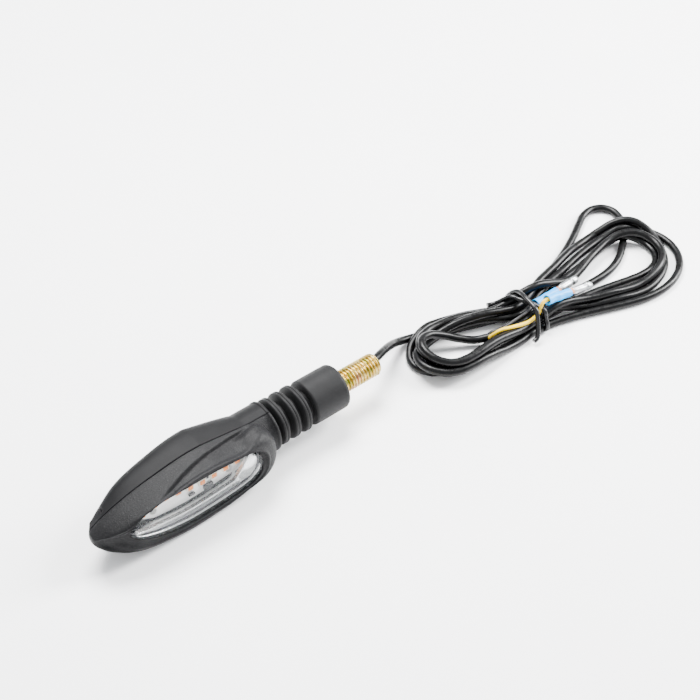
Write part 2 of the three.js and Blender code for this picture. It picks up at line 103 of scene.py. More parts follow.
# injection-moulded nylon: charcoal, with a fine spark grain and slightly rubbed high spots
def mouldedNylon(tree, place, look):
    rough = look["rough"]
    perGrain = perMm / look["grainMm"]
    broad = addNode(tree, "TexNoise", Vector=place, Scale=perMm / 14, Detail=2)
    mottle = addNode(tree, "TexNoise", Vector=place, Scale=perMm / 1.1, Detail=3, Roughness=0.6)
    cells = addNode(tree, "TexVoronoi", Vector=place, Scale=perGrain)
    grit = addNode(tree, "TexNoise", Vector=place, Scale=perGrain / 0.8, Detail=4, Roughness=0.7)
    small = addNode(tree, "Math", {"operation": "MULTIPLY"}, i0=mottle, i1=0.3)
    mixed = addNode(tree, "Math", {"operation": "MULTIPLY_ADD"}, i0=broad, i1=0.7, i2=small)
    charcoal = addNode(tree, "ValToRGB", stops=[(0.3, look["dark"]), (0.7, look["light"])], i0=mixed)
    rubbed = addNode(tree, "MapRange", Value=grit, From_Min=0.55, From_Max=0.75, To_Min=0,
                     To_Max=look["speckle"])
    speck = linearColour(look["speck"])
    colour = addNode(tree, "Mix", {"data_type": "RGBA"}, i0=rubbed, i6=charcoal, i7=speck)
    gloss = addNode(tree, "MapRange", Value=mixed, To_Min=rough - 0.06, To_Max=rough + 0.08, **usual)
    coarse = addNode(tree, "Bump", Height=cells, Distance=look["grainDepth"] * mm)
    fine = addNode(tree, "Bump", Height=grit, Distance=0.9 * look["grainDepth"] * mm, Normal=coarse)
    wave = addNode(tree, "Bump", Height=broad, Distance=0.05 * mm, Normal=fine)
    return {"Base_Color": colour.outputs[2], "Roughness": gloss, "Normal": wave,
            "Specular_IOR_Level": look["gloss"]}


# injection-moulded soft rubber: dull, a little dusty in the hollows, with a faint flow
def mouldedRubber(tree, place, look):
    rough = look["rough"]
    broad = addNode(tree, "TexNoise", Vector=place, Scale=perMm / 9, Detail=3)
    dust = addNode(tree, "TexNoise", Vector=place, Scale=perMm / 0.9, Detail=5, Roughness=0.7)
    clean = addNode(tree, "ValToRGB", stops=[(0.3, look["dark"]), (0.72, look["light"])], i0=broad)
    dusted = addNode(tree, "MapRange", Value=dust, From_Min=0.5, From_Max=0.8, To_Min=0, To_Max=0.3)
    powder = linearColour(look["dust"])
    colour = addNode(tree, "Mix", {"data_type": "RGBA"}, i0=dusted, i6=clean, i7=powder)
    gloss = addNode(tree, "MapRange", Value=dust, To_Min=rough, To_Max=rough + 0.14, **usual)
    soft = addNode(tree, "Bump", Height=broad, Distance=0.06 * mm)
    fine = addNode(tree, "Bump", Height=dust, Distance=0.02 * mm, Normal=soft)
    return {"Base_Color": colour.outputs[2], "Roughness": gloss, "Normal": fine, "Specular_IOR_Level": 0.14,
            "Sheen_Weight": 0.02, "Sheen_Roughness": 0.5}


# extruded PVC sheath: black with a satin gloss and faint draw lines and smears
def extrudedSheath(tree, place, look):
    rough = look["rough"]
    broad = addNode(tree, "TexNoise", Vector=place, Scale=perMm / 11, Detail=2)
    smear = addNode(tree, "TexNoise", Vector=place, Scale=perMm / 2.4, Detail=4, Roughness=0.6)
    line = addNode(tree, "TexNoise", Vector=place, Scale=perMm / 0.3, Detail=3)
    colour = addNode(tree, "ValToRGB", stops=[(0.3, look["dark"]), (0.7, look["light"])], i0=broad)
    gloss = addNode(tree, "MapRange", Value=smear, To_Min=rough - 0.05, To_Max=rough + 0.13, **usual)
    ripple = addNode(tree, "Bump", Height=smear, Distance=0.05 * mm)
    fine = addNode(tree, "Bump", Height=line, Distance=0.006 * mm, Normal=ripple)
    return {"Base_Color": colour, "Roughness": gloss, "Normal": fine, "Specular_IOR_Level": look["gloss"]}


# zinc plate, yellow passivated: gold with a drift to pink and green, and matt handling marks
def passivatedZinc(tree, place, look):
    rough = look["rough"]
    drift = addNode(tree, "TexNoise", Vector=place, Scale=perMm / 4.2, Detail=2, Roughness=0.4)
    stain = addNode(tree, "TexNoise", Vector=place, Scale=perMm / 1.6, Detail=4, Roughness=0.6)
    stops = [(0.3, look["green"]), (0.45, look["gold"]), (0.58, look["straw"]), (0.7, look["pink"])]
    bright = addNode(tree, "ValToRGB", stops=stops, i0=drift)
    handled = addNode(tree, "MapRange", Value=stain, From_Min=0.52, From_Max=0.75, To_Min=0, To_Max=0.55)
    dull = linearColour(look["dull"])
    colour = addNode(tree, "Mix", {"data_type": "RGBA"}, i0=handled, i6=bright, i7=dull)
    gloss = addNode(tree, "MapRange", Value=stain, To_Min=rough, To_Max=rough + 0.22, **usual)
    pitted = addNode(tree, "Bump", Height=stain, Distance=0.02 * mm)
    return {"Base_Color": colour.outputs[2], "Roughness": gloss, "Normal": pitted, "Metallic": 1}


# tin plate over brass: grey, brushed by the crimping tool, with darker tarnish
def tinPlate(tree, place, look):
    rough = look["rough"]
    tarnish = addNode(tree, "TexNoise", Vector=place, Scale=perMm / 2.2, Detail=4, Roughness=0.6)
    scuff = addNode(tree, "TexNoise", Vector=place, Scale=perMm / 0.35, Detail=4, Roughness=0.7)
    colour = addNode(tree, "ValToRGB", stops=[(0.3, look["dark"]), (0.62, look["light"])], i0=tarnish)
    gloss = addNode(tree, "MapRange", Value=scuff, To_Min=rough, To_Max=rough + 0.2, **usual)
    brushed = addNode(tree, "Bump", Height=scuff, Distance=0.015 * mm)
    return {"Base_Color": colour, "Roughness": gloss, "Normal": brushed, "Metallic": 1}


# soft coloured vinyl: crimp sleeves and core insulation, a little light passing into it
def softVinyl(tree, place, look):
    rough = look["rough"]
    broad = addNode(tree, "TexNoise", Vector=place, Scale=perMm / 3.5, Detail=3)
    small = addNode(tree, "TexNoise", Vector=place, Scale=perMm / 0.4, Detail=3, Roughness=0.6)
    colour = addNode(tree, "ValToRGB", stops=[(0.3, look["dark"]), (0.7, look["light"])], i0=broad)
    gloss = addNode(tree, "MapRange", Value=small, To_Min=rough, To_Max=rough + 0.15, **usual)
    fine = addNode(tree, "Bump", Height=small, Distance=0.008 * mm)
    wave = addNode(tree, "Bump", Height=broad, Distance=0.04 * mm, Normal=fine)
    return {"Base_Color": colour, "Roughness": gloss, "Normal": wave, "Subsurface_Weight": look["soft"],
            "Subsurface_Scale": 0.5 * mm}


# clear acrylic: seen straight through, glossier and whiter at a glancing angle, with fine wipe marks
def clearAcrylic(tree, place, look):
    rough = look["rough"]
    broad = addNode(tree, "TexNoise", Vector=place, Scale=perMm / 16, Detail=1)
    wipe = addNode(tree, "TexNoise", Vector=place, Scale=perMm / 0.7, Detail=5, Roughness=0.7)
    tint = addNode(tree, "ValToRGB", stops=[(0.2, look["tint"]), (0.8, look["clear"])], i0=broad)
    gloss = addNode(tree, "MapRange", Value=wipe, From_Min=0.45, From_Max=0.8, To_Min=rough,
                    To_Max=rough + 0.1)
    wave = addNode(tree, "Bump", Height=broad, Distance=0.03 * mm)
    glance = addNode(tree, "LayerWeight", Blend=0.35).outputs["Facing"]
    seen = addNode(tree, "MapRange", Value=glance, From_Min=0.1, From_Max=0.9, To_Min=look["faceOn"],
                   To_Max=look["glancing"])
    return {"Base_Color": tint, "Roughness": gloss, "Normal": wave, "Alpha": seen, "Specular_IOR_Level": 1}


# vacuum-metallised reflector: mirror bright with pinholes and the ripple of the moulding below
def metallisedPlastic(tree, place, look):
    rough = look["rough"]
    ripple = addNode(tree, "TexNoise", Vector=place, Scale=perMm / 3.2, Detail=3)
    pinhole = addNode(tree, "TexNoise", Vector=place, Scale=perMm / 0.5, Detail=4, Roughness=0.7)
    colour = addNode(tree, "ValToRGB", stops=[(0.35, look["light"]), (0.75, look["dark"])], i0=pinhole)
    gloss = addNode(tree, "MapRange", Value=pinhole, To_Min=rough, To_Max=rough + 0.18, **usual)
    wave = addNode(tree, "Bump", Height=ripple, Distance=0.12 * mm)
    return {"Base_Color": colour, "Roughness": gloss, "Normal": wave, "Metallic": 1}


# solder mask and small electronic packages: even, with printing grain and slight gloss changes; a painted
# glow (emission in the light colour) stands in for light filling the lamp's dim inside
def boardFinish(tree, place, look):
    rough = look["rough"]
    broad = addNode(tree, "TexNoise", Vector=place, Scale=perMm / 6, Detail=2)
    weave = addNode(tree, "TexNoise", Vector=place, Scale=perMm / 0.35, Detail=3, Roughness=0.6)
    colour = addNode(tree, "ValToRGB", stops=[(0.3, look["dark"]), (0.7, look["light"])], i0=broad)
    gloss = addNode(tree, "MapRange", Value=weave, To_Min=rough, To_Max=rough + 0.15, **usual)
    fine = addNode(tree, "Bump", Height=weave, Distance=0.01 * mm)
    return {"Base_Color": colour, "Roughness": gloss, "Normal": fine,
            # the emission is painted light: the unlit board and phosphor glow to brighten the shadowed inside
            # of the lamp
            "Emission_Color": linearColour(look["light"]), "Emission_Strength": look.get("glow", 0)}


# paper sweep: near white, with a faint tooth so that it isn't perfectly flat
def paperSweep(tree, place, look):
    broad = addNode(tree, "TexNoise", Vector=place, Scale=perMm / 160, Detail=2)
    tooth = addNode(tree, "TexNoise", Vector=place, Scale=perMm / 0.8, Detail=3)
    colour = addNode(tree, "ValToRGB", stops=[(0.3, look["dark"]), (0.7, look["light"])], i0=broad)
    gloss = addNode(tree, "MapRange", Value=tooth, To_Min=0.55, To_Max=0.7, **usual)
    fine = addNode(tree, "Bump", Height=tooth, Distance=0.01 * mm)
    return {"Base_Color": colour, "Roughness": gloss, "Normal": fine}


finishes = {
    "housing": newMaterial("housing nylon", mouldedNylon, {
        "dark": "#0e0e0f", "light": "#161617", "speck": "#2c2c2e", "speckle": 0.2, "grainMm": 0.42,
        "grainDepth": 0.02, "rough": 0.5, "gloss": 0.08}),
    "cover": newMaterial("cover nylon", mouldedNylon, {
        "dark": "#0d0d0e", "light": "#161617", "speck": "#464648", "speckle": 0.5, "grainMm": 0.5,
        "grainDepth": 0.09, "rough": 0.42, "gloss": 0.11}),
    "rubber": newMaterial("stem rubber", mouldedRubber, {
        "dark": "#0b0b0c", "light": "#121213", "dust": "#212123", "rough": 0.5}),
    "seal": newMaterial("seal foam", mouldedRubber, {
        "dark": "#4a4a4c", "light": "#5c5c5e", "dust": "#77777a", "rough": 0.7}),
    "sheath": newMaterial("lead sheath", extrudedSheath, {
        "dark": "#030303", "light": "#060607", "rough": 0.28, "gloss": 0.17}),
    "tie": newMaterial("tie plastic", extrudedSheath, {
        "dark": "#070708", "light": "#0e0e10", "rough": 0.22, "gloss": 0.35}),
    "zinc": newMaterial("yellow zinc", passivatedZinc, {
        "gold": "#a8883a", "straw": "#bcaa6c", "pink": "#a87c60", "green": "#7c8440", "dull": "#6a5c34",
        "rough": 0.2}),
    "tin": newMaterial("tin plate", tinPlate, {"dark": "#8b8d90", "light": "#c6c8ca", "rough": 0.26}),
    "copper": newMaterial("copper strand", tinPlate, {"dark": "#8a4a28", "light": "#d88a58", "rough": 0.28}),
    "solder": newMaterial("solder", tinPlate, {"dark": "#a4a6a8", "light": "#d6d8d9", "rough": 0.2}),
    "blue": newMaterial("crimp vinyl", softVinyl, {
        "dark": "#0086d2", "light": "#00a0ee", "rough": 0.36, "soft": 0.05}),
    "yellow": newMaterial("yellow insulation", softVinyl, {
        "dark": "#d8b000", "light": "#e6c200", "rough": 0.4, "soft": 0.05}),
    "black": newMaterial("black insulation", softVinyl, {
        "dark": "#0e0e10", "light": "#1b1b1e", "rough": 0.35, "soft": 0.0}),
    "lens": newMaterial("lens acrylic", clearAcrylic, {
        "tint": "#34383a", "clear": "#44494b", "rough": 0.03, "faceOn": 0.05, "glancing": 0.4}),
    "chrome": newMaterial("reflector metal", metallisedPlastic, {
        "dark": "#d8dbdc", "light": "#ffffff", "rough": 0.16}),
    # the board and the diode phosphor carry a painted glow, emission standing in for light reaching the
    # lamp's inside
    "board": newMaterial("board mask", boardFinish, {
        "dark": "#eeeeec", "light": "#fafaf8", "rough": 0.4, "glow": 0.12}),
    "amber": newMaterial("led phosphor", boardFinish, {
        "dark": "#d86a08", "light": "#ee8a20", "rough": 0.3, "glow": 0.3}),
    "ledBody": newMaterial("led body", boardFinish, {"dark": "#e2dccb", "light": "#f2ecdc", "rough": 0.35}),
    "epoxy": newMaterial("component epoxy", boardFinish, {
        "dark": "#2a2a2c", "light": "#3a3a3d", "rough": 0.35}),
    "floor": newMaterial("paper sweep", paperSweep, {"dark": "#f6f6f7", "light": "#fbfbfb"}),
}

# the camera, a pale world and three soft lights: name, place, size and power
studio = {
    "cameraPlace": (-0.25061, -0.38039, 0.50566), "cameraTarget": (0.06627, 0.01093, 0.0194),
    "lens": 86.4, "worldColour": "#f4f6f8", "worldLight": 1.4, "lightTarget": (0.05, 0, 0.01),
    "lights": [("key", (0.15, 0.35, 0.75), (0.5, 0.35), 28.0), ("fill", (-0.6, -0.35, 0.5), (0.5, 0.5), 0.6),
               ("rim", (0.75, -0.2, 0.45), (0.25, 0.6), 30.0)],
    "floorHalf": 3,
}


# puts a camera or light in the scene, looking at its target
def aimedObject(name, data, place, target):
    obj = bpy.data.objects.new(name, data)
    obj.location = place
    obj.rotation_euler = (Vector(target) - Vector(place)).to_track_quat("-Z", "Y").to_euler()
    bpy.context.scene.collection.objects.link(obj)
    return obj


cameraData = bpy.data.cameras.new("camera")
cameraData.lens = studio["lens"]
cameraData.sensor_width = 36
camera = aimedObject("camera", cameraData, studio["cameraPlace"], studio["cameraTarget"])
bpy.context.scene.camera = camera

for name, place, size, power in studio["lights"]:
    lightData = bpy.data.lights.new(name, "AREA")
    lightData.shape = "RECTANGLE"
    lightData.size, lightData.size_y = size
    lightData.energy = power
    aimedObject(name, lightData, place, studio["lightTarget"])

world = bpy.data.worlds.new("studio")
world.use_nodes = True
bpy.context.scene.world = world
background = world.node_tree.nodes["Background"]
background.inputs["Color"].default_value = linearColour(studio["worldColour"])
background.inputs["Strength"].default_value = studio["worldLight"]


# links an object, rides it on its body and hides the CAD nodes it stands for
def settled(name, data, material, body=None, hides=()):
    data.materials.append(material)
    obj = bpy.data.objects.new(name, data)
    bpy.context.scene.collection.objects.link(obj)
    if body:
        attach(obj, body)
    if hides:
        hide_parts(*hides)
    return obj


# turns a bmesh into an object in the scene
def finishMesh(name, mesh, material, body=None, smooth=True, hides=()):
    bmesh.ops.recalc_face_normals(mesh, faces=mesh.faces)
    data = bpy.data.meshes.new(name)
    mesh.to_mesh(data)
    mesh.free()
    if smooth:
        data.shade_smooth()
    return settled(name, data, material, body, hides)


# a grid whose vertices placeAt(column, row) puts in place, in millimetres of the part
def sheetMesh(columns, rows, placeAt, into=None):
    mesh = into or bmesh.new()
    made = bmesh.ops.create_grid(mesh, x_segments=columns, y_segments=rows, size=1)["verts"]
    for vert in made:
        column = round((vert.co.x + 1) / 2 * columns)
        row = round((vert.co.y + 1) / 2 * rows)
        vert.co = Vector(placeAt(column, row)) * mm
    bmesh.ops.remove_doubles(mesh, verts=made, dist=1e-6)
    return mesh


floorMesh = bmesh.new()
bmesh.ops.create_grid(floorMesh, x_segments=1, y_segments=1, size=studio["floorHalf"])
finishMesh("floor", floorMesh, finishes["floor"], smooth=False)
print("camera, light and floor")

# the lead: its route, how it lies, and its sheath

# places are [x, y] or [x, y, z] in millimetres; each pass goes once round one end of the hank
# it settles in rounds: each lets it fall, lifts and shoves what touches, then eases it back to its plan
lead = {"radius": 1.8, "step": 2.4, "rounds": 240, "fall": 0.14, "lift": 3.9, "firstHeight": 1.9,
        "smoothing": 30, "apart": 7, "searchGap": 2.5, "highestRise": 0.8, "shove": 0.175, "drawBack": 0.995}
leadStart = [
    (62, 1.45, 15.5), (67, 1.8, 15.5), (72, 3.0, 15.2), (77, 5.2, 13.9), (82, 7.8, 11.8),
    (87, 10.4, 9.2), (92, 12.7, 6.3), (97, 14.1, 3.8), (102, 14.0, 2.4), (106, 13.0, 2.0),
]
leadPasses = [
    [(110, 11.5), (120, 7), (133, 2), (143, -1), (151.5, -1.5), (172, 4.5), (195, 12.9), (211.6, 21.5),
     (222, 27), (231, 25.5), (233.5, 17.5), (228, 8), (220, 0.5), (211, -5.7), (199.9, -9.3), (185, -9.5),
     (168, -8.5)],
    [(151.5, -8.9), (140, -10), (125, -12.5), (110, -14), (99, -10), (93.2, -2), (95.5, 6), (103, 10.5),
     (113, 12.8), (124, 12.3), (134, 9), (142, 5)],
    [(151.5, 2.2), (172, -0.5), (196, 2), (212, 5), (222, 3.3), (227.5, -5), (226, -14), (218, -19.5),
     (206, -19), (190, -15.5), (172, -13)],
    [(151.5, -12.6), (140, -13), (125, -14), (110, -15.5), (100, -12.5), (94.8, -5), (97.5, 3), (106, 7.5),
     (118, 6.5), (134, 1), (143, -3.5)],
    [(151.5, -5.2), (170, 0), (190, 6), (208, 9), (223, 8.5), (233.5, 2), (237.3, -7), (235.5, -18),
     (228, -27), (215.6, -32), (201.4, -31.5), (186, -26.5), (168, -20)],
    [(151.5, -16.3), (140, -17), (125, -17.5), (112, -18), (101, -16.5), (94, -10), (93.2, -2), (98.5, 4),
     (108, 6), (122, 4), (137, -0.5)],
    [(151.5, -3.4), (170, 3), (185.2, 7.5), (204.1, 12.7), (218.2, 12.8), (229.5, 7), (233.3, -4),
     (229.5, -15.5), (220, -24.5), (205.4, -28.5), (190, -25.5), (171, -17)],
    [(151.5, -10.8), (140, -12), (126, -13.5), (112, -14.5), (102, -12), (96.5, -4.5), (98.5, 3.5),
     (107, 8.5), (119, 8), (134, 4.5)],
    [(151.5, 0.4), (168, -2.5), (184.2, -3), (204, 2.1), (218, 3), (227, -2.5), (229.4, -11), (225.1, -19),
     (216, -24), (204, -25), (190, -22.5), (171, -16.5)],
    [(151.5, -14.5), (140, -15), (126, -15.5), (113, -16.5), (103, -15), (96.5, -8), (96.5, 0), (103, 4.5),
     (111, 2.5), (120, -3.5), (128.7, -9)],
]


# a smooth line through the points, with places an even step apart
def splineThrough(points, step):
    points = np.array(points, float)
    knots = np.concatenate([[0], np.cumsum(np.linalg.norm(np.diff(points, axis=0), axis=1) ** 0.5)])
    count = len(points)
    ahead, behind = np.minimum(np.arange(count) + 1, count - 1), np.maximum(np.arange(count) - 1, 0)
    slopes = (points[ahead] - points[behind]) / (knots[ahead] - knots[behind])[:, None]
    pieces = []
    u = np.linspace(0, 1, 40, endpoint=False)[:, None]
    for i in range(count - 1):
        span = knots[i + 1] - knots[i]
        bent = (u ** 3 - 2 * u ** 2 + u) * slopes[i] + (u ** 3 - u ** 2) * slopes[i + 1]
        pieces.append(points[i] + (3 * u ** 2 - 2 * u ** 3) * (points[i + 1] - points[i]) + span * bent)
    dense = np.vstack(pieces + [points[-1:]])
    gone = np.concatenate([[0], np.cumsum(np.linalg.norm(np.diff(dense, axis=0), axis=1))])
    places = np.linspace(0, gone[-1], max(2, int(round(gone[-1] / step)) + 1))
    return np.stack([np.interp(places, gone, dense[:, k]) for k in range(3)], 1)


# the line with its bends evened out over a reach of points
def faired(line, reach, share):
    middle = np.zeros_like(line)
    middle[reach:-reach] = (line[:-2 * reach] + line[2 * reach:]) / 2 - line[reach:-reach]
    change = middle.copy()
    change[reach:-reach] -= (middle[:-2 * reach] + middle[2 * reach:]) / 2
    line = line.copy()
    line[2 * reach:-2 * reach] += share * change[2 * reach:-2 * reach]
    return line


# lets the wound lead settle: later passes lie on earlier ones, and neighbours push each other aside
def layLead():
    thick = 2 * lead["radius"]
    route = list(leadStart)
    for turn, places in enumerate(leadPasses):
        route += [(x, y, lead["firstHeight"] + lead["lift"] * turn) for x, y in places]
    line = splineThrough(route, lead["step"])
    held = int(np.linalg.norm(np.diff(np.array(leadStart), axis=0), axis=1).sum() / lead["step"]) + 1
    for _ in range(lead["smoothing"]):
        line[:, :2] = faired(line[:, :2], 1, 0.25)
    plan = line[:, :2].copy()
    start = line[:held].copy()
    count = len(line)
    first, second = np.triu_indices(count, lead["apart"])
    for turn in range(lead["rounds"]):
        line[:, 2] -= lead["fall"]
        if turn % 10 == 0:
            flatGap = ((line[second, :2] - line[first, :2]) ** 2).sum(1)
            near = flatGap < (thick + lead["searchGap"]) ** 2
            low, high = first[near], second[near]
        for _ in range(4):
            apart = line[high] - line[low]
            squared = (apart ** 2).sum(1)
            hit = squared < thick ** 2
            below, above, apart = low[hit], high[hit], apart[hit]
            if len(below):
                flat = (apart[:, :2] ** 2).sum(1)
                side = np.clip(np.sqrt(flat) / thick, 0, 1) ** 2
                full = np.sqrt(squared[hit]) + 1e-6
                wanted = np.sqrt(np.maximum(thick ** 2 - flat, 0))
                raised = np.clip(wanted - apart[:, 2], 0, lead["highestRise"]) * 0.5 * (1 - side * 0.6)
                shoved = apart[:, :2] / full[:, None] * ((thick - full) * lead["shove"] * side)[:, None]
                move = np.concatenate([shoved, raised[:, None]], 1)
                total, hits = np.zeros((count, 3)), np.zeros(count)
                np.add.at(total, above, move)
                np.add.at(total, below, -move)
                np.add.at(hits, above, 1)
                np.add.at(hits, below, 1)
                line += total / np.sqrt(np.maximum(hits, 1))[:, None]
            line[:, 2] = np.maximum(line[:, 2], lead["radius"] + 0.05)
            for reach in (1, 2):
                line[:, 2] = faired(line[:, 2], reach, 0.25)
            drift = line[:, :2] - plan
            for reach in (1, 2, 4):
                eased = drift.copy()
                between = (drift[:-2 * reach] + drift[2 * reach:]) / 2
                eased[reach:-reach] += 0.4 * (between - drift[reach:-reach])
                drift = eased
            line[:, :2] = plan + drift * lead["drawBack"]
            line[:held] = start
    line[:, 2] = np.maximum(line[:, 2], lead["radius"] + 0.02)
    return line


# a round flexible piece whose centreline passes smoothly through points, in millimetres
def curveThrough(name, points, radius, material, resolution, hides, sides=5):
    data = bpy.data.curves.new(name, "CURVE")
    data.dimensions = "3D"
    data.bevel_depth = radius * mm
    data.bevel_resolution = sides
    data.resolution_u = resolution
    data.use_fill_caps = True
    spline = data.splines.new("BEZIER")
    spline.bezier_points.add(len(points) - 1)
    for knot, point in zip(spline.bezier_points, points):
        knot.co = Vector(point) * mm
        knot.handle_left_type = knot.handle_right_type = "AUTO"
    return settled(name, data, material, "stud", hides)


laid = layLead()
leadKnots = np.vstack([laid[:-1:3], laid[-1:]])
sheathCurve = curveThrough("lead", leadKnots, lead["radius"], finishes["sheath"], 5,
                           ("lead_cord", "lead_hank", "lead_in_stud"), 7)

# the lead's two cores, their crimp sleeves and bullet terminals

core = {"radius": 0.85, "side": 0.8, "bare": 1.5}
crimp = {"radius": 2.1, "length": 14, "wall": 0.55, "flare": 0.3, "pinch": 0.28}
bullet = {"radius": 1.9, "length": 13, "strands": 9, "strandRadius": 0.13}
coreEnds = [
    {"colour": "black", "number": 1, "start": (155.5, -8.4), "heading": 4, "side": 1,
     "route": [(137, -9.6), (146, -9.8), (151, -9.2)]},
    {"colour": "yellow", "number": 2, "start": (156.5, -14), "heading": -2, "side": -1,
     "route": [(135.5, -13.4), (144, -14.8), (151.5, -14.4)]},
]


# how high the centre of something round lies on the wound lead at that place
def restHeight(x, y, radius):
    reach = lead["radius"] + radius
    flat = (laid[:, 0] - x) ** 2 + (laid[:, 1] - y) ** 2
    under = flat < reach ** 2
    if not under.any():
        return radius
    return max(radius, float((laid[under, 2] + np.sqrt(reach ** 2 - flat[under])).max()))


# height of a rigid piece's start and its rise per millimetre, as it lies on the lead
def restLine(start, heading, length, radius):
    places = np.arange(0, length + 0.5, 1.0)
    way = np.array([math.cos(heading), math.sin(heading)])
    heights = np.array([restHeight(*(np.array(start) + s * way), radius) for s in places])
    rises = np.arange(-0.2, 0.21, 0.01)
    choices = [(max(heights - rise * places) + rise * length / 2, rise) for rise in rises]
    middle, rise = min(choices)
    return middle - rise * length / 2, rise


# a profile of (along, radius) pairs spun about a line along X; shape changes a radius by place and angle
def turnedMesh(profile, segments, shape=None, into=None, centre=(0, 0)):
    mesh = into or bmesh.new()
    middle = Vector((0, *centre)) * mm
    rim = [mesh.verts.new(Vector((along, radius, 0)) * mm + middle) for along, radius in profile]
    line = [mesh.edges.new(pair) for pair in zip(rim, rim[1:])]
    bmesh.ops.spin(mesh, geom=rim + line, cent=middle, axis=(1, 0, 0), angle=2 * math.pi, steps=segments,
                   use_merge=True)
    bmesh.ops.remove_doubles(mesh, verts=mesh.verts, dist=1e-6)
    for vert in mesh.verts if shape else ():
        radius = math.hypot(vert.co.y, vert.co.z)
        angle = math.atan2(vert.co.z, vert.co.y) % (2 * math.pi)
        if radius > 0:
            share = shape(vert.co.x / mm, radius / mm, angle) * mm / radius
            vert.co = (vert.co.x, vert.co.y * share, vert.co.z * share)
    return mesh


# the profile with each inner corner drawn as an arc, no wider than its sides allow
def roundedProfile(points, radius, steps=5):
    result = [points[0]]
    for before, here, after in zip(points, points[1:], points[2:]):
        a, b, c = Vector(before), Vector(here), Vector(after)
        cut = min(radius, (a - b).length * 0.45, (c - b).length * 0.45)
        first, last = b + (a - b).normalized() * cut, b + (c - b).normalized() * cut
        for step in range(steps + 1):
            t = step / steps
            result.append(tuple((1 - t) ** 2 * first + 2 * t * (1 - t) * b + t ** 2 * last))
    return result + [points[-1]]


def moved(mesh, matrix):
    bmesh.ops.transform(mesh, matrix=matrix, verts=mesh.verts)
    return mesh


# two crimps pressed across the sleeve
def pinched(reach, radius, angle):
    share = sum(math.exp(-((reach - place) / 1.3) ** 2) for place in (4.2, 9.6))
    return radius * (1 - crimp["pinch"] * share * math.cos(angle) ** 2 + 0.08 * share)


def crimpProfile():
    outer, inner, long = crimp["radius"], crimp["radius"] - crimp["wall"], crimp["length"]
    return roundedProfile([
        (1.2, inner - 0.4), (0.0, inner + 0.1), (-0.2, outer + crimp["flare"]), (1.1, outer),
        (2.5, outer), (4.2, outer * 0.98), (6.5, outer), (8.5, outer * 0.96), (11, outer * 0.92),
        (long - 0.8, outer * 0.9), (long, outer * 0.88), (long, inner * 0.86), (long - 3, inner * 0.8),
    ], 0.5, 4)


def bulletProfile():
    full, long = bullet["radius"], bullet["length"]
    return roundedProfile([
        (-3, 0), (-3, 0.62 * full), (0.2, 0.62 * full), (0.9, 0.78 * full), (2.2, full), (0.6 * long, full),
        (0.64 * long, 0.76 * full), (0.69 * long, 0.76 * full), (0.73 * long, full),
        (0.88 * long, 0.95 * full), (0.97 * long, 0.66 * full), (long, 0.3 * full), (long, 0),
    ], 0.45, 4)


# the rolled seam along a terminal's barrel
def seamed(reach, radius, angle):
    return radius * (1 - 0.1 * math.exp(-((angle - 1.9) / 0.09) ** 2))


coreTracks = []
sheathEnd = laid[-1]
sheathWay = (laid[-1] - laid[-4]) / np.linalg.norm(laid[-1] - laid[-4])
sheathSide = np.array([-sheathWay[1], sheathWay[0], 0])
for end in coreEnds:
    heading = math.radians(end["heading"])
    long = crimp["length"] + bullet["length"]
    height, rise = restLine(end["start"], heading, long, crimp["radius"])
    leave = sheathEnd - core["bare"] * sheathWay + core["side"] * end["side"] * sheathSide
    clear = sheathEnd + 2.5 * sheathWay + (core["side"] + 0.5) * end["side"] * sheathSide
    ahead = (math.cos(heading), math.sin(heading))
    mouth = [end["start"][0] + 2 * ahead[0], end["start"][1] + 2 * ahead[1], height + 2 * rise]
    before = [end["start"][0] - 2.5 * ahead[0], end["start"][1] - 2.5 * ahead[1], height - 2.5 * rise]
    route = [tuple(leave), tuple(clear)]
    route += [(x, y, restHeight(x, y, core["radius"])) for x, y in end["route"]]
    track = splineThrough(route + [before, mouth], 0.8)
    for _ in range(6):
        for i in range(3, len(track) - 6):
            track[i, 2] = max(track[i, 2], restHeight(track[i, 0], track[i, 1], core["radius"]))
        for _ in range(4):
            track[:, 2] = faired(track[:, 2], 1, 0.2)
            track[:, 2] = faired(track[:, 2], 3, 0.2)
    coreTracks.append(track)
    coreName = f"core_{end['colour']}"
    wire = curveThrough(f"{coreName}_insulation", track[::3], core["radius"], finishes[end["colour"]], 5,
                        (coreName,))
    tilt = Matrix.Translation(Vector((*end["start"], height)) * mm) @ Matrix.Rotation(heading, 4, "Z") \
        @ Matrix.Rotation(-math.atan(rise), 4, "Y")
    sleeve = finishMesh(f"crimp_vinyl_{end['number']}",
                        moved(turnedMesh(crimpProfile(), 40, shape=pinched), tilt),
                        finishes["blue"], "stud", hides=(f"crimp_sleeve_{end['number']}",))
    tip = tilt @ Matrix.Translation(((crimp["length"] + 0.6) * mm, 0, 0))
    terminal = finishMesh(f"bullet_{end['number']}",
                          moved(turnedMesh(bulletProfile(), 40, shape=seamed), tip),
                          finishes["tin"], "stud", hides=(f"bullet_terminal_{end['number']}",))
    strandMesh = bmesh.new()
    for i in range(bullet["strands"]):
        angle = 2.6 * (i / (bullet["strands"] - 1) - 0.5) + math.pi / 2
        thin = bullet["strandRadius"]
        out = 1.32 + 0.05 * (i % 3)
        free = 1.1 + 0.1 * (i * 7 % 5)
        turnedMesh([(-2, 0), (-2, thin), (free, thin), (free + 0.15, 0)], 8, into=strandMesh,
                   centre=(out * math.cos(angle), out * math.sin(angle)))
    strands = finishMesh(f"copper_strands_{end['number']}", moved(strandMesh, tip), finishes["copper"],
                         "stud")
print("cores and terminals")

# the tie round the hank: a plastic-coated wire, wrapped once and crossed on top

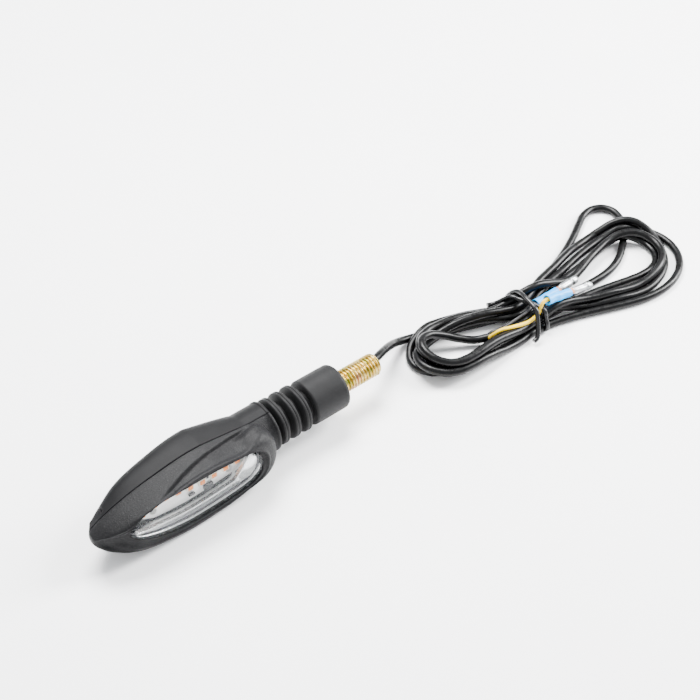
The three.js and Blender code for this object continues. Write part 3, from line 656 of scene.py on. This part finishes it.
# the wrap's places are shares of the way round the hank, with how far along and how far off it they lie
tie = {"radius": 1.05, "at": 151.5, "tail": [(141.0, 7.0), (144.5, 5.4)],
       "end": [(145.5, -20.8, 3.4), (142.0, -21.2, 1.6)], "wrap": (-0.12, 1.16),
       "along": [(-0.12, 148.0), (0, 151.2), (0.12, 153.6), (0.3, 152.6), (0.5, 151.5), (0.75, 150.6),
                 (0.9, 152.6), (1, 150.6), (1.16, 149.0)],
       "lift": [(-0.12, 0), (0.86, 0), (0.94, 2.1), (1.06, 2.1), (1.14, 0.4), (1.16, 0.3)]}


# closed outline round everything that passes the tie, from the top towards the front
def waistHull():
    centres = []
    for line, thick in [(laid, lead["radius"])] + [(track, core["radius"]) for track in coreTracks]:
        crossing = np.where((line[:-1, 0] - tie["at"]) * (line[1:, 0] - tie["at"]) <= 0)[0]
        centres += [(line[i, 1], line[i, 2], thick) for i in crossing]
    angles = np.linspace(0, 2 * np.pi, 181)[:-1]
    rim = np.array([(y + (thick + tie["radius"]) * math.cos(a), z + (thick + tie["radius"]) * math.sin(a))
                    for y, z, thick in centres for a in angles[::6]])
    rim[:, 1] = np.maximum(rim[:, 1], tie["radius"])
    middle = (rim.max(0) + rim.min(0)) / 2
    normals = np.stack([np.cos(angles), np.sin(angles)], 1)
    support = (rim @ normals.T).max(0)
    outline = []
    for turn in np.linspace(0, 2 * np.pi, 73)[:-1]:
        way = np.array([-math.sin(turn), math.cos(turn)])
        facing = normals @ way
        seen = facing > 0.05
        outline.append(middle + way * ((support - normals @ middle)[seen] / facing[seen]).min())
    return np.array(outline)


hull = waistHull()
hullMiddle = hull.mean(0)
hull = np.vstack([hull, hull[:1]])
hullGone = np.concatenate([[0], np.cumsum(np.linalg.norm(np.diff(hull, axis=0), axis=1))])


# place on the outline, share of the way round, and lifted off it
def hullAt(share, lift=0):
    gone = (share % 1) * hullGone[-1]
    y, z = (float(np.interp(gone, hullGone, hull[:, k])) for k in (0, 1))
    out = np.array([y, z]) - hullMiddle
    out /= np.linalg.norm(out)
    return y + lift * out[0], z + lift * out[1]


def tieTrack():
    turns = np.linspace(*tie["wrap"], 60)
    along, lifts = (np.interp(turns, *np.array(tie[key]).T) for key in ("along", "lift"))
    around = [(x, *hullAt(share, lift)) for x, share, lift in zip(along, turns, lifts)]
    first = [(x, y, restHeight(x, y, tie["radius"]) + 0.1) for x, y in tie["tail"]]
    return splineThrough(first + around[::3] + tie["end"], 1.0)


tiePath = tieTrack()
curveThrough("wire_tie", tiePath[::2], tie["radius"], finishes["tie"], 6, ("hank_tie",))
print("tie")

# the hollow stud: hex head, cut thread and bore

stud = {"start": 50.5, "hexStart": 45.5, "hexEnd": 52.5, "end": 72, "radius": 5, "pitch": 1.5, "depth": 0.82,
        "bore": 3.4, "flats": 14, "chamfer": 1.0, "plain": 0.9}


# radius of the cut thread, running out into the plain shank and the end chamfer
def threadRadius(reach, angle):
    phase = ((reach - stud["hexEnd"]) / stud["pitch"] - angle / (2 * math.pi)) % 1
    flank = min(1, max(0, (abs(phase - 0.5) * 2 - 0.16) / 0.66))
    soft = flank * flank * (3 - 2 * flank)
    runOut = min(1, max(0, (reach - stud["hexEnd"] - stud["plain"]) / 0.8))
    radius = stud["radius"] - stud["depth"] * (0.35 * flank + 0.65 * soft) * runOut
    fromEnd = stud["end"] - reach
    return min(radius, stud["radius"] - stud["chamfer"] + fromEnd * 0.9)


def studMesh():
    rows, columns = 200, 72
    long = stud["end"] - stud["start"]

    def shankAt(column, row):
        angle = 2 * math.pi * column / columns
        reach = stud["start"] + long * row / rows
        radius = threadRadius(reach, angle)
        return reach, axisY + radius * math.cos(angle), axisZ + radius * math.sin(angle)
    mesh = sheetMesh(columns, rows, shankAt)
    rim = stud["radius"] - stud["chamfer"]
    end, bore = stud["end"], stud["bore"]
    mouth = roundedProfile([(end, rim), (end + 0.02, rim - 0.05), (end, bore), (end - 10, bore)], 0.12, 3)

    def mouthAt(column, row):
        angle = 2 * math.pi * column / columns
        reach, radius = mouth[row]
        return reach, axisY + radius * math.cos(angle), axisZ + radius * math.sin(angle)
    sheetMesh(columns, len(mouth) - 1, mouthAt, mesh)
    return mesh


def hexMesh():
    mesh = bmesh.new()
    across = stud["flats"] / math.sqrt(3) * mm
    long = (stud["hexEnd"] - stud["hexStart"]) * mm
    bmesh.ops.create_cone(mesh, cap_ends=True, segments=6, radius1=across, radius2=across, depth=long)
    ends = [edge for edge in mesh.edges if abs(edge.verts[0].co.z - edge.verts[1].co.z) < 1e-7]
    bmesh.ops.bevel(mesh, geom=ends, offset=0.55 * mm, segments=3, profile=0.5, affect="EDGES", material=-1)
    sides = [edge for edge in mesh.edges if abs(edge.verts[0].co.z - edge.verts[1].co.z) > 4 * mm]
    bmesh.ops.bevel(mesh, geom=sides, offset=0.25 * mm, segments=3, profile=0.5, affect="EDGES", material=-1)
    middle = (stud["hexStart"] + stud["hexEnd"]) / 2
    return moved(mesh, Matrix.Translation(Vector((middle, axisY, axisZ)) * mm)
                 @ Matrix.Rotation(math.pi / 2, 4, "Y"))


finishMesh("stud_thread", studMesh(), finishes["zinc"], "stud", hides=("threaded_stud",))
hexHead = finishMesh("stud_hex", hexMesh(), finishes["zinc"], "stud", smooth=False)
for polygon in hexHead.data.polygons:
    polygon.use_smooth = polygon.area < 20 * mm ** 2
print("stud")

# rubber stem: plug, three ribs and sleeve, parted in the middle of each rib

stem = {"ribs": [90.85, 96.45, 102.05], "crest": 10.2, "root": 6.5, "crestHalf": 1.45, "rootHalf": 1.95,
        "pitch": 5.6, "sleeve": 9.9, "sleeveStart": 106.2, "sleeveEnd": 123.5, "mouth": 8.3,
        "plugStart": 79.0, "plugEnd": 87.4, "plugRadius": 6.5, "flangeStart": 116}


# half a rib, from its crest's middle down to the root on one side
def ribSide(centre, side):
    return [(centre, stem["crest"]), (centre + side * (stem["crestHalf"] - 0.35), stem["crest"] - 0.02),
            (centre + side * (stem["crestHalf"] + 0.05), stem["crest"] - 0.75),
            (centre + side * (stem["rootHalf"] - 0.1), stem["root"] + 0.5),
            (centre + side * (stem["rootHalf"] + 0.2), stem["root"])]


# the rubber between the middles of two ribs; the end pieces carry the plug and the sleeve
def stemPiece(index):
    if index == 0:
        start = [(stem["plugStart"], 0), (stem["plugStart"], stem["plugRadius"]),
                 (stem["plugEnd"], stem["plugRadius"])]
    else:
        start = [(stem["ribs"][index - 1], 0)] + ribSide(stem["ribs"][index - 1], 1)
    if index == len(stem["ribs"]):
        begin, end, full = stem["sleeveStart"], stem["sleeveEnd"], stem["sleeve"]
        finish = [(begin - 0.1, stem["root"]), (begin, stem["root"] + 0.4), (begin + 0.05, full - 0.6),
                  (begin + 0.7, full), (begin + 6, full), (end - 5, full), (end - 1.3, full - 0.03),
                  (end - 0.3, full - 0.5), (end, full - 1.1), (end, stem["mouth"] + 0.25),
                  (end - 0.7, stem["mouth"]), (stem["flangeStart"], stem["mouth"]), (stem["flangeStart"], 0)]
    else:
        finish = ribSide(stem["ribs"][index], -1)[::-1] + [(stem["ribs"][index], 0)]
    profile = roundedProfile(start + finish, 0.42, 4)
    fine = []
    for (x0, r0), (x1, r1) in zip(profile, profile[1:]):
        pieces = max(1, int(math.hypot(x1 - x0, r1 - r0) / 0.45))
        fine += [(x0 + (x1 - x0) * k / pieces, r0 + (r1 - r0) * k / pieces) for k in range(pieces)]
    fine.append(profile[-1])
    return moved(turnedMesh(fine, 96), Matrix.Translation(lampOrigin * mm))


rubberHides = [("stem_plug",), ("stem_rib_1",), ("stem_rib_2",), ("stem_rib_3", "stem_sleeve")]
for index in range(4):
    piece = finishMesh(f"stem_rubber_{index + 1}", stemPiece(index), finishes["rubber"])
    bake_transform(piece)
    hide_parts(*rubberHides[index])
print("stem")

# lamp: the moulded form that housing and cover share

lamp = {"length": 78, "top": 13.8, "bottom": 15.5, "front": 15.5, "back": 12.6, "collar": 10.6,
        "collarEnd": 87.2, "neck": 6.9, "parting": 3.0, "gap": 0.16, "edge": 0.22, "lip": 0.3}


# value at x on a smooth curve through the pairs, never passing beyond them
def curveOf(pairs):
    xs, values = np.array(pairs, float).T
    slopes = np.diff(values) / np.diff(xs)
    tangents = np.zeros(len(xs))
    tangents[0], tangents[-1] = slopes[0], slopes[-1]
    for i in range(1, len(xs) - 1):
        if slopes[i - 1] * slopes[i] > 0:
            tangents[i] = 2 * slopes[i - 1] * slopes[i] / (slopes[i - 1] + slopes[i])

    def at(x):
        x = min(max(x, xs[0]), xs[-1])
        i = min(int(np.searchsorted(xs, x, side="right")) - 1, len(xs) - 2)
        span = xs[i + 1] - xs[i]
        t = (x - xs[i]) / span
        bent = (t ** 3 - 2 * t ** 2 + t) * tangents[i] + (t ** 3 - t ** 2) * tangents[i + 1]
        return float(values[i] + (3 * t ** 2 - 2 * t ** 3) * (values[i + 1] - values[i]) + span * bent)
    return at


def shares(pairs, size):
    return [(share * lamp["length"], value * size) for share, value in pairs]


collarPair = [(80, lamp["collar"]), (lamp["collarEnd"], lamp["collar"])]
topEdge = curveOf(shares([(0, 0.1), (0.08, 0.35), (0.22, 0.62), (0.4, 0.84), (0.62, 0.99), (0.69, 0.985),
                          (0.71, 0.97), (0.95, 0.78), (0.962, 0.769), (0.985, 0.768)],
                         lamp["top"]) + collarPair)
bottomEdge = curveOf(shares([(0, -0.14), (0.04, -0.34), (0.12, -0.54), (0.3, -0.83), (0.53, -1),
                             (0.74, -0.92), (0.93, -0.71)],
                            lamp["bottom"]) + [(x, -radius) for x, radius in collarPair])
backEdge = curveOf(shares([(0, 0.06), (0.05, 0.26), (0.21, 0.58), (0.4, 0.81), (0.66, 0.99), (0.69, 1),
                           (0.71, 0.99), (0.95, 0.85), (0.962, 0.842), (0.985, 0.841)],
                          lamp["back"]) + collarPair)
frontEdge = curveOf(shares([(0, 0.5), (0.06, 0.82), (0.13, 0.98), (0.18, 1), (0.97, 1)], lamp["front"])
                    + [(80.5, 13.95), (83.5, 11.02), (lamp["collarEnd"], lamp["collar"])])
squareness = curveOf([(0, 2.6), (15.6, 3.2), (50, 3.6), (54.5, 3.55), (56, 3.45), (74, 2.1),
                      (75.5, 2), (lamp["collarEnd"], 2)])


def smoothStep(value, low, high):
    t = min(1, max(0, (value - low) / (high - low)))
    return t * t * (3 - 2 * t)


tipLean = curveOf([(-15.5, 3.0), (-11, 0.9), (-7, 0), (-4.5, 0.5), (-3, 1.3), (-1, 2.8), (2, 4.6), (7, 6)])


# a place on the lamp, in the part; the tip leans back on either side of its foremost line
def fromLamp(x, y, z):
    return lampOrigin + Vector((x + tipLean(y) * (1 - smoothStep(x, 0, 24)), y, z))


# the line through (y, z) points, drawn with count + 1 even steps
def evenly(points, count):
    points = np.array(points)
    gone = np.concatenate([[0], np.cumsum(np.linalg.norm(np.diff(points, axis=0), axis=1))])
    places = np.linspace(0, gone[-1], count + 1)
    return np.stack([np.interp(places, gone, points[:, k]) for k in (0, 1)], 1)


# half a ring of the rear housing, from the upper parting line over the back to the lower one
def backSection(x, inset, count):
    top, bottom, back = topEdge(x) - inset, bottomEdge(x) + inset, backEdge(x) - inset
    middle, half = (top + bottom) / 2, (top - bottom) / 2
    power = 2 / squareness(x)
    points = []
    seam = -lamp["parting"] + lamp["gap"]
    if x > 70:
        # the round collar goes on round past the axis to the parting line
        roundness = smoothStep(x, 70, 80)
        sink = half - math.sqrt(max(half ** 2 - seam ** 2, 0))
        drop = sink * roundness
    else:
        drop = 0
    points.append((seam, middle + half - drop - lamp["edge"]))
    points.append((seam + lamp["edge"], middle + half - drop))
    for angle in np.linspace(90, -90, 181):
        c, s = math.cos(math.radians(angle)), math.sin(math.radians(angle))
        points.append((back * abs(c) ** power, middle + half * math.copysign(abs(s) ** power, s)))
    points.append((seam + lamp["edge"], middle - half + drop))
    points.append((seam, middle - half + drop + lamp["edge"]))
    return evenly(points, count)


# the narrow latch slot near the tip, above the axis
def slotDepth(x, y, z):
    across = smoothStep(0.45 - abs(x - 6.3 + 0.25 * (y - 1.5)), -0.15, 0.15)
    return 0.7 * across * smoothStep(2.2 - abs(y - 1.2), -0.3, 0.4) * smoothStep(z, 1.0, 2.0)


def rearHousingMesh():
    columns = 150
    stations = [(0.02, 0.999), (0.05, 0.75), (0.15, 0.45), (0.4, 0.2), (0.8, 0.07)]
    stations += [(x, 0) for x in np.concatenate([np.arange(1.3, 12, 0.3), np.arange(12.3, 76, 0.7),
                                                 np.arange(76.2, 86.1, 0.4)])]
    end = lamp["collarEnd"]
    lip = lamp["lip"]
    stations += [(end - 1.35, 0), (end - 1.25, -lip * 0.7), (end - 1.05, -lip), (end - 0.35, -lip),
                 (end - 0.08, -lip + 0.15), (end, 0.25), (end, 1.2), (end, lamp["collar"] - lamp["neck"]),
                 (end - 2.5, lamp["collar"] - lamp["neck"])]
    rings = []
    for x, shrink in stations:
        if x < 1:
            full = backSection(x, 0, columns)
            centre = np.array([0.2, (topEdge(0) + bottomEdge(0)) / 2])
            rings.append([(x, *(centre + (point - centre) * math.sqrt(1 - shrink ** 2))) for point in full])
        else:
            rings.append([(x, y, z) for y, z in backSection(x, shrink, columns)])
    # the parting edge turns in, and stands as a dark step behind the groove
    flange = 3

    def placeAt(column, row):
        x, y, z = rings[row][min(max(column - flange, 0), columns)]
        inner = max(0, flange - column, column - flange - columns)
        if inner:
            middle = (topEdge(x) + bottomEdge(x)) / 2
            z = middle + (z - middle) * (1 - (0.03, 0.05, 1)[inner - 1])
            y = y - (0, 0.7, 0.7)[inner - 1]
        elif slotDepth(x, y, z) > 0:
            z -= slotDepth(x, y, z)
        return fromLamp(x, y, z)
    return sheetMesh(columns + 2 * flange, len(rings) - 1, placeAt)


finishMesh("rear_shell", rearHousingMesh(), finishes["housing"], "lamp", hides=("rear_housing",))
print("rear housing")

# front cover: a bezel round the window, with a sunk visor, a hooded end and half the collar

windowUpper = shares([(0.96, 0.1), (0.945, 0.55), (0.9, 0.93), (0.86, 1), (0.62, 1.07), (0.4, 1.21),
                      (0.345, 1.2), (0.24, 0.96), (0.185, 0.62), (0.155, 0.25)], 0.61 * lamp["top"])
windowLower = shares([(0.155, -0.02), (0.22, -0.42), (0.33, -0.78), (0.48, -0.98), (0.62, -1), (0.8, -0.9),
                      (0.9, -0.72), (0.945, -0.4)], 0.685 * lamp["bottom"])
cover = {"centre": 45, "squeeze": 0.26, "round": 2.0, "hoodRound": 5.0, "hoodEnd": 83.6, "sink": 1.7,
         "draft": 0.35, "rim": 0.5, "bevel": 1.2, "swell": 1.5, "wallEnd": 11.2, "around": 336,
         "ridge": [(26, -14.5), (30, -13), (33, -12), (44, -9), (49, -8), (58, -6.3), (66, -4.8), (72, -4.2)]}
ridgeAt = curveOf(cover["ridge"])


# distance from the cover's centre to a closed outline, by angle, in the squeezed plane
def radialLookup(outline):
    x = (outline[:, 0] - cover["centre"]) * cover["squeeze"]
    angle = np.unwrap(np.arctan2(outline[:, 1], x))
    order = np.argsort(angle)
    reach = np.hypot(x, outline[:, 1])[order]
    angle = angle[order]
    angle = np.concatenate([angle - 2 * np.pi, angle, angle + 2 * np.pi])
    reach = np.concatenate([reach, reach, reach])
    return lambda turn: float(np.interp(turn, angle, reach))


def closedOutline(points):
    path = splineThrough([(x, z, 0) for x, z in points + points[:1]], 0.25)
    return path[:-1, :2]


# outline of the cover at the parting line, with its rounded hooded end
def bodyOutline():
    upper = [(x, topEdge(x)) for x in np.arange(0.35, 74.5, 0.7)]
    lower = [(x, bottomEdge(x)) for x in np.arange(74.3, 0.3, -0.7)]
    hoodTop, hoodBottom = topEdge(74.5), bottomEdge(74.5)
    middle, half = (hoodTop + hoodBottom) / 2, (hoodTop - hoodBottom) / 2
    hood = [(74.5 + (cover["hoodEnd"] - 74.5) * math.cos(a) ** 0.8, middle + half * math.sin(a))
            for a in np.linspace(1.5, -1.5, 40)]
    tip = [(0.1, -1.6), (0.02, -0.5), (0.1, 0.7)]
    return np.array(upper + hood + lower + tip)


windowReach = radialLookup(closedOutline(windowUpper + windowLower))
bodyReach = radialLookup(bodyOutline())


def onAngle(turn, reach):
    return np.array([cover["centre"] + reach * math.cos(turn) / cover["squeeze"], reach * math.sin(turn)])


# how far the visor lies below the bezel's ridge, on the upper side of the cover
def visorSink(x, y, z):
    if z < 3 or x < 24:
        return 0
    before = smoothStep(ridgeAt(x) - y, 0.0, 0.9)
    return cover["sink"] * before * smoothStep(x, 25, 33) * (1 - smoothStep(x, 68, 76))


# the rounded swelling of the hooded end, over the lamp's sides
def hoodSwell(x):
    return cover["swell"] * smoothStep(x, 64, 72)


# the window's edge is set back on its upper side and flush on its lower side
def windowBevel(place):
    return cover["bevel"] * smoothStep(place[1], -5, 1.5)


def coverMesh():
    side, rounding, face, wall = 40, 10, 12, 8
    rows = side + rounding + face + wall

    def placeAt(column, row):
        turn = 2 * math.pi * column / cover["around"]
        outer = onAngle(turn, bodyReach(turn))
        window = onAngle(turn, windowReach(turn))
        inwards = (window - outer) / np.linalg.norm(window - outer)
        width = np.linalg.norm(window - outer)
        hooded = smoothStep(outer[0], 70, 80)
        radius = min(cover["round"] + (cover["hoodRound"] - cover["round"]) * hooded, 0.6 * width)
        depthHere = frontEdge(min(outer[0] + 1.2, 76))
        if outer[0] < 14:
            radius = min(radius, 0.35 * depthHere)
        seam = lamp["parting"] + lamp["gap"]
        if row <= side:
            t = row / side
            y = -(seam + (depthHere - radius - seam) * t)
            draft = cover["draft"] * t + (lamp["edge"] if row == 0 else 0)
            flat = outer + inwards * draft
            if row == 0:
                y = -seam
            elif row == 1:
                y = -seam - lamp["edge"]
                flat = outer
            if outer[1] > 3:
                flat = flat + np.array([0, -visorSink(outer[0], y, outer[1])])
                flat = flat + np.array([0, hoodSwell(outer[0]) * smoothStep(t, 0.12, 0.55)])
            return fromLamp(flat[0], y, flat[1])
        if row <= side + rounding:
            angle = (row - side) / rounding * math.pi / 2
            y = -(depthHere - radius) - radius * math.sin(angle)
            flat = outer + inwards * (cover["draft"] + radius * (1 - math.cos(angle)))
            if outer[1] > 3:
                rolled = 1 - (row - side) / rounding
                lift = hoodSwell(outer[0]) - visorSink(outer[0], y, outer[1])
                flat = flat + np.array([0, lift * rolled])
            return fromLamp(flat[0], y, flat[1])
        if row <= side + rounding + face:
            t = (row - side - rounding) / face
            flat = (outer + inwards * (cover["draft"] + radius)) * (1 - t) + window * t
            target = frontEdge(min(flat[0] + 1.2 * (1 - t), 76))
            y = -(depthHere * (1 - t) + target * t)
            y -= cover["rim"] * math.exp(-((t - 0.3) / 0.14) ** 2) * smoothStep(width, 3, 7)
            y += windowBevel(window) * smoothStep(t, 0.35, 0.98)
            return fromLamp(flat[0], y, flat[1])
        t = (row - side - rounding - face) / wall
        front = frontEdge(min(window[0], 76)) - windowBevel(window)
        flat = window - inwards * 0.1
        return fromLamp(flat[0], -(front + (cover["wallEnd"] - front) * t), flat[1])
    mesh = sheetMesh(cover["around"], rows, placeAt)
    # the front half of the collar
    end, lip = lamp["collarEnd"], lamp["lip"]
    collarRows = [(74, 0), (77, 0), (80, 0), (83, 0), (end - 1.35, 0), (end - 1.25, lip * 0.7),
                  (end - 1.05, lip), (end - 0.35, lip), (end - 0.08, lip - 0.15), (end, -0.25), (end, -1.2),
                  (end, lamp["neck"] - lamp["collar"]), (end - 2.5, lamp["neck"] - lamp["collar"])]
    start = math.asin((lamp["parting"] + lamp["gap"]) / lamp["collar"])

    def collarAt(column, row):
        x, swell = collarRows[row]
        turn = start + (math.pi - 2 * start) * column / 90
        radius = lamp["collar"] + swell
        return fromLamp(x, -radius * math.sin(turn), radius * math.cos(turn))
    return sheetMesh(90, len(collarRows) - 1, collarAt, mesh)


finishMesh("front_bezel", coverMesh(), finishes["cover"], "lamp", hides=("front_cover",))
print("front cover")

# behind the window: lens, seal, reflector and board

inside = {"lensFront": -15.1, "lensBack": -13.9, "lensGap": 0.25, "crown": 0.3, "sealGap": 1.3,
          "sealRim": 0.3, "sealDepth": 0.8, "sealWidth": 0.4, "troughSpan": (15.5, 74.2),
          "troughFront": -13.6, "troughDepth": 6.2, "troughHeight": 5.2, "around": 240}


# a place on the window's outline, moved inwards
def windowPoint(turn, inset):
    edge = onAngle(turn, windowReach(turn))
    ahead = onAngle(turn + 0.02, windowReach(turn + 0.02)) - onAngle(turn - 0.02, windowReach(turn - 0.02))
    ahead /= np.linalg.norm(ahead)
    return edge + inset * np.array([-ahead[1], ahead[0]])


# a plate in the window's shape; a row is (share of the way out from the middle, inset, depth)
def plateMesh(rows):
    middle = np.array([cover["centre"], 0.0])

    def placeAt(column, row):
        share, inset, depth = rows[row]
        turn = 2 * math.pi * column / inside["around"]
        flat = middle + (windowPoint(turn, inset) - middle) * share
        return fromLamp(flat[0], depth, flat[1])
    return sheetMesh(inside["around"], len(rows) - 1, placeAt)


front, back, gap, crown = (inside[key] for key in ("lensFront", "lensBack", "lensGap", "crown"))
shoulder = gap + 0.5
lensRows = [(share, shoulder, front - crown * (1 - share ** 2)) for share in (0, 0.25, 0.5, 0.75, 0.9)]
lensRows += [(1, gap + 0.4, front), (1, gap + 0.12, front + 0.1), (1, gap, front + 0.35),
             (1, gap, back - 0.2), (1, gap + 0.2, back)]
lensRows += [(share, shoulder, back) for share in (0.9, 0.5, 0)]
finishMesh("lens_plate", plateMesh(lensRows), finishes["lens"], "lamp", hides=("lens",))

sealFront, sealRim = back + inside["sealGap"], inside["sealRim"]
sealBack, sealInner = sealFront + inside["sealDepth"], sealRim + inside["sealWidth"]
sealRows = [(1, sealRim, sealFront), (1, sealInner, sealFront), (1, sealInner + 0.05, sealBack),
            (1, sealRim, sealBack), (1, sealRim, sealFront)]
finishMesh("seal_ring", plateMesh(sealRows), finishes["seal"], "lamp", hides=("lens_seal",))


# height of the window's lower edge at x
def lowerWindow(x):
    turn = min((abs(onAngle(t, windowReach(t))[0] - x), t) for t in np.linspace(-math.pi, 0, 181))[1]
    return onAngle(turn, windowReach(turn))[1]


def troughTop(x):
    rise = 9.5 * smoothStep(x, 61, 72)
    return bottomEdge(x) * 0.685 + inside["troughHeight"] + rise


def reflectorMesh():
    columns, rows = 110, 26
    start, end = inside["troughSpan"]
    lows = [lowerWindow(start + (end - start) * column / columns) + 0.4 for column in range(columns + 1)]

    def placeAt(column, row):
        x = start + (end - start) * column / columns
        low, high = lows[column], max(troughTop(x), lows[column] + 0.6)
        middle, half = (low + high) / 2, (high - low) / 2
        turn = math.pi * (row - 3) / (rows - 6)
        depth = inside["troughDepth"] * min(1, half / 1.6) * (1 - 0.45 * smoothStep(x, 62, 74))
        if row < 3:
            return fromLamp(x, inside["troughFront"] + 0.4 * (3 - row) / 3, low - 0.5 * (3 - row) / 3)
        if row > rows - 3:
            lift = (row - rows + 3) / 3
            return fromLamp(x, inside["troughFront"] + 0.2 + 1.6 * lift, high + 0.6 * lift)
        flute = 0.1 * math.sin(x * 1.7) * smoothStep(x, 58, 66)
        y = inside["troughFront"] + depth * math.sin(turn) + flute
        return fromLamp(x, y, middle - half * math.cos(turn))
    return sheetMesh(columns, rows, placeAt)


finishMesh("reflector_trough", reflectorMesh(), finishes["chrome"], "lamp", hides=("reflector",))


# a block between two corners with its edges rounded, in millimetres of the part
def boxMesh(low, high, edge, into=None):
    mesh = into or bmesh.new()
    low, high = Vector(low), Vector(high)
    made = bmesh.ops.create_cube(mesh, size=1)["verts"]
    bmesh.ops.scale(mesh, vec=(high - low) * mm, verts=made)
    bmesh.ops.translate(mesh, vec=(high + low) / 2 * mm, verts=made)
    edges = list({line for vert in made for line in vert.link_edges})
    bmesh.ops.bevel(mesh, geom=edges, offset=edge * mm, segments=2, profile=0.5, affect="EDGES", material=-1)
    return mesh


def corners(node):
    return [Vector(corner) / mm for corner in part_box(node)]


# each diode is a pale body on two pads, with a window of phosphor standing just clear of its face
diode = {"recess": 0.25, "padOut": 0.25, "padIn": 0.5, "side": 0.35, "end": 0.45, "window": 0.5}
for node in [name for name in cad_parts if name.startswith("led_")]:
    low, high = corners(node)
    front, back, side = low.y, high.y, diode["side"]
    body = boxMesh((low.x, front + diode["recess"], low.z), high, 0.12)
    for x0, x1 in ((low.x - diode["padOut"], low.x + diode["padIn"]),
                   (high.x - diode["padIn"], high.x + diode["padOut"])):
        boxMesh((x0, back - 0.3, low.z + side), (x1, back + 0.12, high.z - side), 0.08, body)
    finishMesh(f"{node}_body", body, finishes["ledBody"], "lamp", smooth=False, hides=(node,))
    # the phosphor window wears the led material with its painted glow
    glow = boxMesh((low.x + diode["end"], front, low.z + side),
                   (high.x - diode["end"], front + diode["window"], high.z - side), 0.22)
    finishMesh(f"{node}_phosphor", glow, finishes["amber"], "lamp")

# a resistor is a dark block between two soldered caps
for node in [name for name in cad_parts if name.startswith("resistor_")]:
    low, high = corners(node)
    finishMesh(f"{node}_body", boxMesh((low.x + 0.3, low.y, low.z), (high.x - 0.3, high.y, high.z), 0.06),
               finishes["epoxy"], "lamp", smooth=False, hides=(node,))
    caps = boxMesh((low.x, low.y - 0.03, low.z - 0.02), (low.x + 0.32, high.y + 0.2, high.z + 0.02), 0.08)
    boxMesh((high.x - 0.32, low.y - 0.03, low.z - 0.02), (high.x, high.y + 0.2, high.z + 0.02), 0.08, caps)
    finishMesh(f"{node}_caps", caps, finishes["solder"], "lamp")

# packages with legs on both long sides
for node, legs in (("driver_chip", 4), ("polarity_diode", 1)):
    low, high = corners(node)
    body = boxMesh((low.x, low.y, low.z + 0.45), (high.x, high.y - 0.1, high.z - 0.45), 0.15)
    finishMesh(f"{node}_body", body, finishes["epoxy"], "lamp", smooth=False, hides=(node,))
    feet = bmesh.new()
    span = (high.x - low.x) / legs
    for leg in range(legs):
        x = low.x + span * (leg + 0.5)
        for z0, z1 in ((low.z, low.z + 0.7), (high.z - 0.7, high.z)):
            boxMesh((x - 0.22 * span, high.y - 0.35, z0), (x + 0.22 * span, high.y + 0.2, z1), 0.06, feet)
    finishMesh(f"{node}_legs", feet, finishes["solder"], "lamp", smooth=False)

nodeFinishes = {
    "circuit_board": "board", "board_wire_yellow": "yellow", "board_wire_black": "black",
    "lead_in_collar": "sheath", "lead_in_rib_1": "sheath", "lead_in_rib_2": "sheath",
    "lead_in_rib_3": "sheath",
}
for name, kind in nodeFinishes.items():
    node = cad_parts[name]
    node.data.materials.clear()
    node.data.materials.append(finishes[kind])
print("lens, reflector and board")
